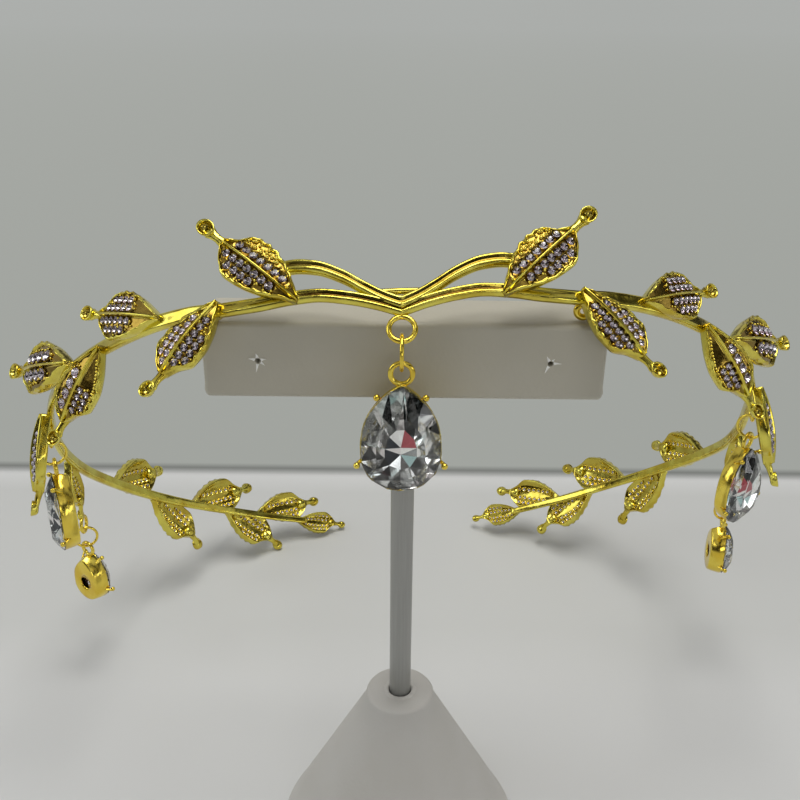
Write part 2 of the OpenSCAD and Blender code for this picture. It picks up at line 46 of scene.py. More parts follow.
camera_at, camera_pitch, camera_roll, camera_lens = (-0.0006, -0.1372, 0.1616), 24.68, 0.61, 40.5


def wired(tree, kind, inputs=None, **settings):
    """A node of a kind in a tree, with its settings and its inputs set or linked."""
    made = tree.nodes.new(kind)
    for key, value in settings.items():
        setattr(made, key, value)
    for key, value in (inputs or {}).items():
        if isinstance(value, bpy.types.NodeSocket):
            tree.links.new(value, made.inputs[key])
        else:
            made.inputs[key].default_value = value
    return made


def spread(tree, value, low, high, to_low=0.0, to_high=1.0):
    """A value's range from low to high, spread over another range."""
    ends = {"From Min": low, "From Max": high, "To Min": to_low, "To Max": to_high}
    return wired(tree, "ShaderNodeMapRange", {"Value": value, **ends}).outputs[0]


def blended(tree, share, first, second, **settings):
    """The colour that lies a share of the way from the first to the second."""
    return wired(tree, "ShaderNodeMix", {"Factor": share, 6: first, 7: second}, data_type="RGBA",
                 **settings).outputs[2]


def new_finish(name):
    """An empty finish: its tree, its shader and its place on the piece."""
    finish = bpy.data.materials.new(name)
    finish.use_nodes = True
    tree = finish.node_tree
    place = wired(tree, "ShaderNodeTexCoord").outputs["Object"]
    return finish, tree, tree.nodes["Principled BSDF"], place


def toned(tree, shader, value, stops, tones):
    """Colours a finish with a ramp between two tones."""
    ramp = wired(tree, "ShaderNodeValToRGB", {"Fac": value})
    for end, at, tone in zip(ramp.color_ramp.elements, stops, tones):
        end.position, end.color = at, (*tone, 1)
    tree.links.new(ramp.outputs["Color"], shader.inputs["Base Color"])
    return ramp


def placed(name, data):
    """An object of a mesh, lamp or camera, put in the scene."""
    made = bpy.data.objects.new(name, data)
    bpy.context.scene.collection.objects.link(made)
    return made


def soft_light(name, at, towards, wide, deep, watts, colour):
    """A soft light of a width and depth, which shines from a place towards another."""
    lamp = bpy.data.lights.new(name, "AREA")
    lamp.shape, lamp.size, lamp.size_y = "RECTANGLE", wide, deep
    lamp.energy, lamp.color = watts, colour
    held = placed(name, lamp)
    held.location = at
    held.rotation_euler = (Vector(towards) - Vector(at)).to_track_quat("-Z", "Y").to_euler()


# Painted light: the table's tone is lighter in front, darker behind the stand and lighter again in a strip
# along its far edge. Past that edge the table glows with painted light of its own, a shade brighter farther
# off, and stands in for a lit wall.
table_finish, tree, shader, place = new_finish("table_finish")
along_y = wired(tree, "ShaderNodeSeparateXYZ", {"Vector": place}).outputs["Y"]
ramp = toned(tree, shader, spread(tree, along_y, -0.2, 0.2), (0.60, 0.66), (near_tone, mid_tone))
for at, tone in ((0.84, mid_tone), (0.87, edge_tone), (0.882, (0, 0, 0))):
    ramp.color_ramp.elements.new(at).color = (*tone, 1)
far_glow = blended(tree, spread(tree, along_y, 0.4, 4.0), far_tone, high_tone)
tree.links.new(far_glow, shader.inputs["Emission Color"])
far_share = spread(tree, along_y, far_edge - edge_blur, far_edge + edge_blur)
tree.links.new(far_share, shader.inputs["Emission Strength"])
shader.inputs["Specular IOR Level"].default_value = 0.15
shader.inputs["Roughness"].default_value = 0.62

table_mesh = bpy.data.meshes.new("table_top")
table_mesh.from_pydata([(x * table_half, y * table_half, 0) for x, y in ((-1, -1), (1, -1), (1, 1), (-1, 1))],
                       [], [(0, 1, 2, 3)])
table_mesh.materials.append(table_finish)
table_top = placed("table_top", table_mesh)

soft_light("ceiling_light", (0.06, 0.02, 0.85), (0, 0.03, 0.05), 0.55, 0.34, 3.5, (1, 0.985, 0.96))
soft_light("window_light", (-0.75, -0.05, 0.42), (0, 0.03, 0.08), 0.35, 0.5, 1.1, (0.93, 0.97, 1))

room = bpy.data.worlds.new("room")
bpy.context.scene.world = room
room.use_nodes = True
tree = room.node_tree
sky = wired(tree, "ShaderNodeTexCoord").outputs["Generated"]
towards = wired(tree, "ShaderNodeSeparateXYZ", {"Vector": sky}).outputs
behind, overhead = spread(tree, towards["Y"], -0.35, 0.05), spread(tree, towards["Z"], 0.35, 0.6)
lit = wired(tree, "ShaderNodeMath", {0: behind, 1: overhead}, operation="MAXIMUM").outputs[0]
patchy = wired(tree, "ShaderNodeTexNoise", {"Scale": 3.2, "Detail": 2.0, "Roughness": 0.6}).outputs["Fac"]
lamps = spread(tree, patchy, 0.57, 0.62, 0, 3.4)
dim = blended(tree, lamps, (0.035, 0.033, 0.03, 1), (0.85, 0.86, 0.88, 1), clamp_factor=False)
glow = blended(tree, lit, dim, spread(tree, patchy, 0.44, 0.50, 0.03, 0.48))
shown = blended(tree, wired(tree, "ShaderNodeLightPath").outputs["Is Camera Ray"], glow, high_tone)
tree.links.new(shown, tree.nodes["Background"].inputs["Color"])
bpy.context.scene.view_settings.view_transform = "Standard"

pitch, roll = math.radians(camera_pitch), math.radians(camera_roll)
level_up = Vector((0, math.sin(pitch), math.cos(pitch)))
right_of = Vector((1, 0, 0)) * math.cos(roll) + level_up * math.sin(roll)
up_of = level_up * math.cos(roll) - Vector((1, 0, 0)) * math.sin(roll)
lens = bpy.data.cameras.new("camera")
lens.lens, lens.sensor_width = camera_lens, 36
lens.clip_start, lens.clip_end = 0.01, 100
camera = placed("camera", lens)
camera.matrix_world = Matrix((right_of, up_of, right_of.cross(up_of))).transposed().to_4x4()
camera.location = camera_at
bpy.context.scene.camera = camera

# ---- Foot ----
# A turned cone with a low upright rim, covered in smooth pale leatherette. The cover ends
# in a small torn edge round the post.
mm = 0.001
foot_r, rim_h, cone_top_r, cone_h, socket_r, socket_h = 24.25, 1.2, 6.25, 36, 2.15, 5
foot_steps, torn_steps = 112, 56


def rings_of(loops, closed=False, first=0):
    """Faces that join loops of equally many points, capped at both ends unless the row closes."""
    n, faces = len(loops[0]), []
    count = len(loops) if closed else len(loops) - 1
    for i in range(count):
        a, b = first + i * n, first + (i + 1) % len(loops) * n
        faces += [(a + k, a + (k + 1) % n, b + (k + 1) % n, b + k) for k in range(n)]
    if not closed:
        last = first + (len(loops) - 1) * n
        faces += [tuple(range(first, first + n)), tuple(range(last + n - 1, last - 1, -1))]
    return faces


def skinned(*rows):
    """Points and faces of several closed skins, each over a row of loops."""
    verts, faces = [], []
    for loops in rows:
        faces += rings_of(loops, first=len(verts))
        verts += [v for loop in loops for v in loop]
    return verts, faces


def circle(n, off=0.0):
    """Evenly spaced points of a round of radius one."""
    return [(math.cos((k + off) * math.tau / n), math.sin((k + off) * math.tau / n)) for k in range(n)]


def turned(profile, n):
    """Loops of a turned shape from its profile of radius and height."""
    return [[(r * c, r * s, z) for c, s in circle(n)] for r, z in profile]


def piece(name, verts, faces, finishes, smooth=True):
    """An object of a mesh given in millimetres, with its faces turned outwards."""
    mesh = bpy.data.meshes.new(name)
    mesh.from_pydata([tuple(float(c) * mm for c in v) for v in verts], [], faces)
    for finish in finishes:
        mesh.materials.append(finish)
    work = bmesh.new()
    work.from_mesh(mesh)
    bmesh.ops.recalc_face_normals(work, faces=work.faces)
    work.to_mesh(mesh)
    work.free()
    mesh.polygons.foreach_set("use_smooth", [smooth] * len(mesh.polygons))
    return placed(name, mesh)


def speckle(tree, place, scale, detail):
    """Soft uneven spots, about so many to the metre."""
    inputs = {"Vector": place, "Scale": scale, "Detail": detail}
    return wired(tree, "ShaderNodeTexNoise", inputs).outputs["Fac"]


def embossed(tree, shader, height, strength, deep, **under):
    """Gives a finish a fine relief, on top of a coarser one where there is one."""
    inputs = {"Height": height, "Strength": strength, "Distance": deep, **under}
    relief = wired(tree, "ShaderNodeBump", inputs)
    tree.links.new(relief.outputs["Normal"], shader.inputs["Normal"])
    return relief.outputs["Normal"]


def leatherette(name, tone, pebble):
    """Pale leatherette: fine pebbles, a faint unevenness and slight yellowing."""
    finish, tree, shader, place = new_finish(name)
    yellowed = (tone[0] * 0.93, tone[1] * 0.925, tone[2] * 0.90)
    toned(tree, shader, speckle(tree, place, 55.0, 5.0), (0.3, 0.72), (yellowed, tone))
    cells = wired(tree, "ShaderNodeTexVoronoi", {"Vector": place, "Scale": pebble}).outputs["Distance"]
    fine = speckle(tree, place, pebble * 2.2, 4.0)
    grain = wired(tree, "ShaderNodeMath", {0: cells, 1: fine}, operation="ADD").outputs[0]
    embossed(tree, shader, grain, 0.35, 0.00006)
    tree.links.new(spread(tree, fine, 0, 1, 0.42, 0.6), shader.inputs["Roughness"])
    return finish


foot_cover = leatherette("foot_cover", (0.565, 0.55, 0.52), 1500.0)
slope_x, slope_z = foot_r - cone_top_r - 0.5, cone_h - 0.9 - rim_h
profile = [(0.05, 0), (foot_r - 0.35, 0), (foot_r - 0.1, 0.1), (foot_r, 0.35), (foot_r, rim_h - 0.3),
           (foot_r - 0.12, rim_h - 0.05)]
profile += [(foot_r - 0.4 - slope_x * s, rim_h + 0.25 + (slope_z - 0.35) * s)
            for s in (0, 0.2, 0.4, 0.6, 0.8, 0.985)]
profile += [(cone_top_r + 0.32, cone_h - 0.5), (cone_top_r + 0.05, cone_h - 0.14),
            (cone_top_r - 0.35, cone_h - 0.02), (4.4, cone_h), (socket_r + 0.5, cone_h),
            (socket_r, cone_h - 0.3), (socket_r, cone_h - socket_h + 0.05), (0.05, cone_h - socket_h)]
foot = piece("foot", *skinned(turned(profile, foot_steps)), [foot_cover])

torn = []
for away, lift in ((0.06, 0.05), (0.12, 0.32), (0.4, 0.3), (0.95, 0.02)):
    torn.append([])
    for k in range(torn_steps):
        a = k * math.tau / torn_steps
        wave = 0.5 + 0.5 * math.sin(5 * a + 1.2) * math.cos(3 * a) + 0.35 * math.sin(13 * a + 0.4)
        r = socket_r + away + (0.16 * wave if away > 0.1 else 0)
        height = cone_h - 0.02 + lift * (0.35 + 0.65 * max(0, min(1, wave)))
        torn[-1].append((r * math.cos(a), r * math.sin(a), height))
verts, faces = skinned(torn)
foot_edge = piece("foot_torn_edge", verts, faces[:-2], [foot_cover])
for thing in (foot, foot_edge):
    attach(thing, "diadem")
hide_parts("stand_base")

# ---- Post ----
# A thin steel tube with grey baked paint, pressed into the foot below and into the bar above.
# Its paint shows faint drawing lines along the tube.
post_r, post_low, post_high, post_edge = 2.05, 31.1, 106.5, 0.3
post_paint, tree, shader, place = new_finish("post_paint")
lines = wired(tree, "ShaderNodeMapping", {"Vector": place, "Scale": (1.0, 1.0, 0.03)}).outputs[0]
drawn = speckle(tree, lines, 2600.0, 3.0)
toned(tree, shader, drawn, (0, 1), ((0.31, 0.31, 0.29), (0.40, 0.40, 0.38)))
embossed(tree, shader, drawn, 0.2, 0.00003)
shader.inputs["Metallic"].default_value = 0.35
shader.inputs["Roughness"].default_value = 0.38
profile = [(0.05, post_low), (post_r - 0.25, post_low), (post_r, post_low + post_edge), (post_r, 52),
           (post_r, 78), (post_r, post_high - post_edge), (post_r - 0.25, post_high), (0.05, post_high)]
post = piece("post", *skinned(turned(profile, 48)), [post_paint])
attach(post, "diadem")
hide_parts("stand_post")

# ---- Bar ----
# A square bar wrapped in pale leatherette like a parcel: the wrap laps over itself low on the
# back and is folded in at both ends. Earring pins have torn two small holes in its front.
bar_half, bar_side, bar_top, edge_r, pin_x = 31.75, 12.7, 114.3, 0.8, 23.0
bar_mid, bar_front, flap_t = bar_top - bar_side / 2, -bar_side / 2, 0.09
flap_rows = [(-pin_x, 96, 1.05, 0.5, 0.7), (-pin_x, 262, 1.15, 0.5, 0.65), (-pin_x, 158, 0.95, 0.5, 0.45),
             (-pin_x, 20, 1.0, 0.5, 0.5), (-pin_x, 332, 0.8, 0.45, 0.4), (pin_x, 118, 1.2, 0.5, 0.6),
             (pin_x, 236, 1.1, 0.5, 0.55), (pin_x, 8, 1.1, 0.45, 0.5), (pin_x, 62, 0.6, 0.4, 0.35)]


def settled(made):
    """Applies an object's modifiers: it keeps a plain mesh of what they make."""
    plain = bpy.data.meshes.new_from_object(made.evaluated_get(bpy.context.evaluated_depsgraph_get()))
    made.modifiers.clear()
    made.data = plain
    return made


def flap(x, turn, length, width, curl):
    """One torn flap at a pin hole: a thin wedge that curls out from the hole's edge."""
    c, s, loops = math.cos(math.radians(turn)), math.sin(math.radians(turn)), []
    for f in (0, 0.45, 1):
        r, half, out = 0.5 + length * f, width / 2 * (1 - 0.9 * f), curl * f * f + 0.02
        loops.append([(x + r * c - side * half * s, bar_front - out + deep * (1 - 0.6 * f),
                       bar_mid + r * s + side * half * c)
                      for side, deep in ((-1, 0), (1, 0), (1, flap_t), (-1, flap_t))])
    return loops


def lap(corners, thick):
    """A lap of the wrap: a thin plate through four corners, thickened along its own normal."""
    c = [Vector(p) for p in corners]
    n = (c[1] - c[0]).cross(c[2] - c[0]).normalized() * thick
    return [c, [p + (sum(c, Vector()) / 4 - p).normalized() * thick * 0.8 + n for p in c]]


# Painted shade and a painted reflection of the gold: the bar's cover is the foot's pale leatherette made
# darker and yellower.
shaded_bar_cover = leatherette("shaded_bar_cover", (0.50, 0.475, 0.395), 1250.0)
torn_cover = leatherette("torn_cover", (0.93, 0.93, 0.90), 1250.0)
work = bmesh.new()
bmesh.ops.create_cube(work, size=1)
for v in work.verts:
    v.co = Vector((v.co.x * bar_half * 2, v.co.y * bar_side, v.co.z * bar_side + bar_mid)) * mm
bmesh.ops.bevel(work, geom=list(work.edges), offset=edge_r * mm, segments=5, profile=0.5, affect="EDGES")
mesh = bpy.data.meshes.new("bar")
work.to_mesh(mesh)
work.free()
mesh.materials.append(shaded_bar_cover)
bar = placed("bar", mesh)
pins = [[[(x + r * c, bar_front + y, bar_mid + r * s) for c, s in circle(14)]
         for r, y in ((0.5, -1), (0.42, 1.2), (0.2, 4))] for x in (-pin_x, pin_x)]
pin_holes = piece("pin_holes", *skinned(*pins), [shaded_bar_cover])
drill = bar.modifiers.new("drill", "BOOLEAN")
drill.operation, drill.object, drill.solver = "DIFFERENCE", pin_holes, "EXACT"
settled(bar)
bpy.data.objects.remove(pin_holes)
rounded = [len(p.vertices) == 4 and p.area < 6e-5 for p in bar.data.polygons]
bar.data.polygons.foreach_set("use_smooth", rounded)

tears = piece("bar_pin_tears", *skinned(*(flap(*row) for row in flap_rows)), [torn_cover], smooth=False)
back_y, low_z = bar_side / 2, bar_top - bar_side
laps = [lap([(bar_half - 0.8, back_y, low_z + 0.8), (-bar_half + 0.8, back_y, low_z + 0.8),
             (-bar_half + 0.8, back_y, low_z + 4.4), (bar_half - 0.8, back_y, low_z + 4.1)], 0.22)]
for end in (-1, 1):
    x, h = end * bar_half, bar_side / 2 - 0.8
    low_fold = [(x, -h, bar_mid - h), (x, h, bar_mid - h), (x, 2.2, bar_mid - 0.4), (x, -2.2, bar_mid - 0.4)]
    high_fold = [(x, h, bar_mid + h), (x, -h, bar_mid + h), (x, -2.2, bar_mid + 0.4), (x, 2.2, bar_mid + 0.4)]
    laps += [lap(low_fold[::end], 0.2), lap(high_fold[::end], 0.2)]
bar_laps = piece("bar_wrap_laps", *skinned(*laps), [shaded_bar_cover], smooth=False)
for thing in (bar, bar_laps, tears):
    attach(thing, "diadem")
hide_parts("stand_bar")

# ---- Vines and strap ----
# Cast gold-tone metal. Two round vines rise from the V. The lower one flattens into the strap
# that runs round both sides to the tip leaves, and the upper one ends behind the first leaf.
half_w, half_depth, front_flat, flat_to, flat_dip, tip_at = 77, 84, 2.8, 50, 0.35, 158
rise, vine_d, upper_vine_d, strap_t, strap_h = 7.6, 1.7, 2.2, 1.5, 3
seat_shift, seat_at, seat_h, lean, slope = -0.6, -9.0, 118.35, 2.9, 43.1768
right_out, right_splay, right_arch, out_from, bend_from = 1.6, 4.9, 2.4, 20, 76
vine_sides, swell_up, swell_out = 28, 0.28, 0.12
groove_at, groove_w, groove_deep, shade_w = 0.1, 0.28, 0.55, 0.3
# Each row of the strap: degrees from the front, height, how flat it is and size
strap_rows = [(0, -0.16, 0, 1), (3, 0.03, 0, 1), (6.2, 0.18, 0, 1), (9.6, 0.28, 0, 1), (12.4, 0.29, 0.2, 1),
              (16, 0.26, 0.3, 1), (20.5, 0.30, 0.6, 1), (25, 0.38, 0.9, 1), (31, 0.42, 1, 1),
              (38, 0.42, 1, 1), (46, 0.44, 1, 1), (54, 0.43, 1, 1), (62, 0.39, 1, 1), (70, 0.35, 1, 1),
              (78, 0.22, 1, 1),
              (86, 0.10, 1, 1), (95, 0.06, 1, 1), (104, 0.09, 1, 1), (113, 0.10, 1, 1), (122, 0.10, 1, 0.95),
              (131, 0.10, 1, 0.9), (140, 0.08, 1, 0.85), (148, 0.04, 1, 0.8), (tip_at, -0.04, 1, 0.7)]
upper_rows = [(0, 0.02), (1.8, 0.16), (3.8, 0.37), (6.5, 0.69), (9.5, 0.93), (12, 1.00), (14.6, 0.98)]
web_rows = [(12.5, 0.2), (12.7, 0.3), (13.5, 0.36), (14.3, 0.3), (14.5, 0.2)]


def cosd(a):
    return math.cos(math.radians(a))


def sind(a):
    return math.sin(math.radians(a))


def through(rows, column, at):
    """A smooth value at a place between rows, which never overshoots them."""
    x, y = [r[0] for r in rows], [r[column] for r in rows]
    at = min(max(at, x[0]), x[-1])
    i = min(max(k for k in range(len(x)) if x[k] <= at), len(x) - 2)
    slopes = [(y[k + 1] - y[k]) / (x[k + 1] - x[k]) for k in range(len(x) - 1)]

    def bend(k):
        if k == 0 or k == len(x) - 1:
            return slopes[min(k, len(slopes) - 1)]
        a, b = slopes[k - 1], slopes[k]
        return 0 if a * b <= 0 else 2 * a * b / (a + b)
    h, s = x[i + 1] - x[i], (at - x[i]) / (x[i + 1] - x[i])
    return ((2 * s ** 3 - 3 * s * s + 1) * y[i] + (s ** 3 - 2 * s * s + s) * h * bend(i)
            + (3 * s * s - 2 * s ** 3) * y[i + 1] + (s ** 3 - s * s) * h * bend(i + 1))


def along(t):
    """The band's direction at a turn of so many degrees from the front."""
    press = front_flat * 180 / flat_to * sind(360 / flat_to * t) if abs(t) < flat_to else 0
    d = np.array((half_w * cosd(t), half_depth * sind(t) - press, 0))
    return d / np.linalg.norm(d)


def outward(t):
    return np.array((along(t)[1], -along(t)[0], 0))


def oval(t, height, out=0):
    """A point of the band's oval at a height and a distance outwards, in the wearer's frame."""
    press = front_flat * sind(180 / flat_to * t) ** 2 if abs(t) < flat_to else 0
    middle = np.array((half_w * sind(t), half_depth * (1 - cosd(t)) - press, height - flat_dip * press))
    return middle + out * outward(t)


def bent(t):
    """How the right arm is bent out before the temple, and outwards and up behind it."""
    def eased(start, rate):
        return sind(min((t - start) * rate, 90)) ** 2 if t > start else 0
    up = right_arch * sind((t - bend_from) * 2) ** 2 if t > bend_from else 0
    return np.array((right_out * eased(out_from, 5) + right_splay * eased(bend_from, 2.6), 0, up))


def on_stand(points):
    """Points of the wearer's frame as they lie on the stand, in millimetres."""
    x, y, z = np.asarray(points, float).reshape(-1, 3).T
    x, z = x * cosd(lean) - z * sind(lean), x * sind(lean) + z * cosd(lean)
    return np.stack((x + seat_shift, y * cosd(slope) + z * sind(slope) + seat_at,
                     z * cosd(slope) - y * sind(slope) + seat_h), 1)


def upright_loop(t, height, half_t, half_h, out, square, sides=18, groove=0.0):
    """One section of a vine or strap, rounder or squarer, with a groove in front."""
    loop = []
    for c, s in circle(sides):
        c, s = math.copysign(abs(c) ** (2 / square), c), math.copysign(abs(s) ** (2 / square), s)
        c *= 1 - groove * math.exp(-((s - groove_at) / groove_w) ** 2) if c > 0 else 1
        loop.append(oval(t, height + half_h * s, out + half_t * c) + bent(t))
    return on_stand(loop)


def groove_shade(sides, depth):
    """How much painted shade each point of a grooved section gets."""
    return [depth * math.exp(-((s - groove_at) / shade_w) ** 2) if c > 0 else 0.0 for c, s in circle(sides)]


def polished_gold(name, light, deep, gloss, pits):
    """Bright gold plating over a casting: two close tones, uneven gloss, faint ripples and swells."""
    finish, tree, shader, place = new_finish(name)
    cloud = speckle(tree, place, 240.0, 4.0)
    ramp = toned(tree, shader, cloud, (0.32, 0.62), (deep, light))
    broad = embossed(tree, shader, speckle(tree, place, 330.0, 1.0), 0.3, 0.0004)
    embossed(tree, shader, speckle(tree, place, 900.0, 3.0), pits, 0.00008, Normal=broad)
    tree.links.new(spread(tree, cloud, 0.3, 0.7, gloss, gloss + 0.1), shader.inputs["Roughness"])
    shader.inputs["Metallic"].default_value = 1.0
    return finish, tree, shader, ramp


def darkened(tree, shader, ramp, tone):
    """Mixes a dark tone into a gold as painted shade, as much as each point is marked for."""
    sunk = wired(tree, "ShaderNodeAttribute", attribute_name="sunk").outputs["Fac"]
    tree.links.new(blended(tree, sunk, ramp.outputs["Color"], (*tone, 1)), shader.inputs["Base Color"])


def marked(mesh, name, kind, domain, values):
    """Writes a value on every point or face of a mesh."""
    field = {"FLOAT_COLOR": "color", "FLOAT_VECTOR": "vector"}.get(kind, "value")
    mesh.attributes.new(name, kind, domain).data.foreach_set(field, values)


# Painted shade: the gold darkens along each vine's front groove, and a little on the webs and the tie between
# the vines.
vine_gold, tree, shader, ramp = polished_gold("vine_gold", (0.81, 0.72, 0.13), (0.60, 0.45, 0.05), 0.10, 0.35)
darkened(tree, shader, ramp, (0.16, 0.09, 0.015))
lower, dark = [], []
for t in sorted({round(s * t, 3) for s in (-1, 1) for t in np.arange(0, tip_at + 0.01, 0.75)} | {-0.3, 0.3}):
    height, part, size = (through(strap_rows, k, abs(t)) for k in (1, 2, 3))
    half_t = (vine_d * (1 - part) + strap_t * part) * size / 2
    half_h = (vine_d * (1 - part) + strap_h * part * 0.92) * size / 2
    full = max(0, 1 - 1.6 * part)
    lower.append(upright_loop(t, height * rise + swell_up * full, half_t + swell_out * full,
                              half_h * 0.95 + swell_up * full, swell_out * full, 2 + 1.6 * part, vine_sides,
                              0.6 * full + 0.12))
    dark += groove_shade(vine_sides, 0.95 * full + 0.25)
upper = [upright_loop(t, through(upper_rows, 1, abs(t)) * rise, upper_vine_d / 2, upper_vine_d / 2 + 0.1,
                      0, 2, vine_sides, groove_deep)
         for t in np.concatenate((np.arange(-14.6, 0, 0.4), np.arange(0.2, 14.61, 0.4)))]
dark += groove_shade(vine_sides, 0.95) * len(upper)
webs = [[upright_loop(side * t, rise * 0.63, vine_d * w, rise * 0.36, 0.06, 2.6, 16) for t, w in web_rows]
        for side in (-1, 1)]
tie = [upright_loop(t, rise * 0.34, vine_d * 0.32, vine_d * 0.31, -vine_d * 0.45, 2, 12)
       for t in np.arange(-4.1, 4.2, 0.4)]
verts, faces = skinned(lower, upper, *webs, tie)
vines = piece("vines_and_strap", verts, faces, [vine_gold])
marked(vines.data, "sunk", "FLOAT", "POINT", dark + [0.3] * (len(verts) - len(dark)))
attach(vines, "diadem")
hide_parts("band")

# ---- Leaves ----
# Each leaf is a cast shallow tray: a raised rim and midrib round two sunk lobes with a seat for
# every stone, a smooth side wall and a hollow back. Its stem ends in a small open cup.
leaf_len, leaf_w, leaf_t, relief, rim_w, rib_w = 16.4, 9.2, 1.5, 0.45, 0.55, 0.8
leaf_arch, fold, stem_len, cup_r, chip_d = 1.1, math.radians(13), 3.6, 1.25, 1.45
notch_pitch, upper_notch, lower_notch, back_share, back_wall, hollow_h = 1.9, 0.2, 0.1, 0.83, 0.75, 1.6
rib_gap, row_gap, stone_gap, edge_gaps, scatter = 0.12, 0.08, 0.12, (0.2, 0.05), 0.09
seat_reach, seat_deep = 1.15, 0.42
# Each row: degrees from the front, height, way it points, size, lift, size of its stones, roll
leaf_rows = [(11.5, 0.18, 42, 0.92, 5, 1.0, 0), (20.8, 0.43, -53, 0.84, 7, 1.0, 0),
             (29.1, 0.44, 18, 0.92, -1, 1.0, 0), (40.1, 0.38, -49, 0.90, 5, 1.45, 30),
             (50.5, 0.58, 12, 1.10, 8, 1.45, 0), (67.0, 0.24, -60, 1.0, 0, 1.0, 0),
             (89.0, 0.06, -42, 0.78, -2, 1.0, 0), (106.6, 0.15, 21, 1.12, -3, 1.0, 0),
             (118.3, 0.05, -28, 1.10, -3, 1.0, 0), (129.0, 0.19, 20, 1.14, -3, 1.0, 0),
             (137.9, 0.06, -24, 1.04, -3, 1.0, 0), (145.7, 0.17, 15, 1.05, -3, 1.0, 0),
             (155.4, -0.03, -2, 0.78, -1, 1.0, 0)]
# The leaf beside each temple drop keeps a smooth edge and a sloped wall, so that the drop swings clear
beside_drop = leaf_rows[5]
outline = [(0.0, 0.10, 0.10), (0.15, 0.43, 0.36), (0.35, 0.79, 0.73), (0.55, 0.97, 0.94), (0.73, 0.93, 1.0),
           (0.87, 0.44, 0.72), (1.0, 0.13, 0.15)]
# Each row of the stem: along, half its width, half its depth and height
stem_rows = [(leaf_len * 0.82, 1.35, 0.75, -0.9), (leaf_len * 0.92, 1.12, 0.8, -0.75),
             (leaf_len + 0.1, 0.86, 0.78, -0.6), (leaf_len + 1.0, 0.72, 0.68, -0.42),
             (leaf_len + 1.9, 0.85, 0.6, -0.3), (leaf_len + 2.7, 1.1, 0.5, -0.28),
             (leaf_len + stem_len, 0.9, 0.3, -0.3)]
# Each row of the cup: radius, height and how much painted shade it gets
cup_rows = [(0.05, -0.7, 0), (0.8, -0.66, 0), (1.15, -0.4, 0), (1.32, 0.05, 0), (cup_r + 0.2, 0.5, 0),
            (cup_r + 0.2, 0.7, 0), (cup_r + 0.08, 0.78, 0), (cup_r - 0.06, 0.68, 0),
            (cup_r - 0.16, 0.3, 0.45), (0.86, -0.12, 0.8), (0.45, -0.36, 0.5), (0.03, -0.42, 0.5)]


def lobe_w(s, lobe, notched=0.0):
    """Half width of a lobe, 1 for the upper one and 2 for the lower, with its edge more or less notched."""
    w = through(outline, lobe, s) * leaf_w / 2
    if notched and 0.1 < s < 0.95:
        fade = math.sin(math.pi * (s - 0.1) / 0.85) ** 0.5
        deep = upper_notch if lobe == 1 else lower_notch
        w += notched * fade * deep * math.cos(s * leaf_len / notch_pitch * math.tau + 0.8 * math.sin(9 * s))
    return w


def leaf_place(row, side):
    """The turn and place that carry a leaf's own frame to the stand's, as matrix and shift."""
    t, share, points, size, lift, _, turn = row
    turn_z = np.array(((cosd(points), -sind(points), 0), (sind(points), cosd(points), 0), (0, 0, 1)))
    turn_y = np.array(((cosd(lift), 0, -sind(lift)), (0, 1, 0), (sind(lift), 0, cosd(lift))))
    turn_x = np.array(((1, 0, 0), (0, cosd(turn), -sind(turn)), (0, sind(turn), cosd(turn))))
    own = turn_z @ turn_y @ turn_x @ np.diag((size, size * (-1 if points < 0 else 1), size))
    lay = np.stack((along(t), (0, 0, 1), outward(t)), 1)
    m = np.diag((side, 1, 1)) @ lay @ own
    shift = oval(t, share * rise, strap_t / 2 + leaf_t - 0.9) + bent(side * t)
    shift = shift * (side, 1, 1) if side < 0 else shift
    origin = on_stand([(0, 0, 0)])[0]
    return np.stack([on_stand([m[:, k]])[0] - origin for k in range(3)], 1), on_stand([shift])[0]


def rows_on(row):
    """A leaf's rows of stones: lobe, number of rows, where they begin and the stones' size."""
    own = {2: ((1, 2, 0.40, 1), (2, 2, 0.40, 1)), 3: ((1, 2, 0.52, 0.62), (2, 1, 0.1, 1)),
           4: ((1, 1, 0.34, 1), (2, 1, 0.34, 1))}
    return own.get(leaf_rows.index(row), ((1, 2 if row[2] < 0 else 1, 0.1, 1), (2, 2, 0.1, 1)))


def stones_of(row):
    """Where a leaf's stones sit: along, across and diameter, for both lobes."""
    seats = []
    for lobe, rows, start_at, share in rows_on(row):
        d = chip_d * row[5] * share
        for j in range(rows):
            v = rib_w / 2 + rib_gap + d / 2 + j * (d + row_gap)
            room = [s for s in np.arange(start_at, 0.93, 0.005)
                    if lobe_w(s, lobe) - rim_w - edge_gaps[j] >= v + d / 2]
            if not room:
                continue
            length, pitch = (room[-1] - room[0]) * leaf_len, d + stone_gap
            count = int(length / pitch) + 1
            start = room[0] * leaf_len + (length - (count - 1) * pitch) / 2
            for i in range(count):
                shift, sign = scatter * math.sin(12.7 * i + 5 * j + row[0]), 1 if lobe == 1 else -1
                seats.append(((start + i * pitch + shift) / leaf_len, (v + 0.5 * shift) * sign, d))
    return seats


def bed_height(s, v):
    return leaf_arch * 4 * s * (1 - s) - abs(v) * math.tan(fold)


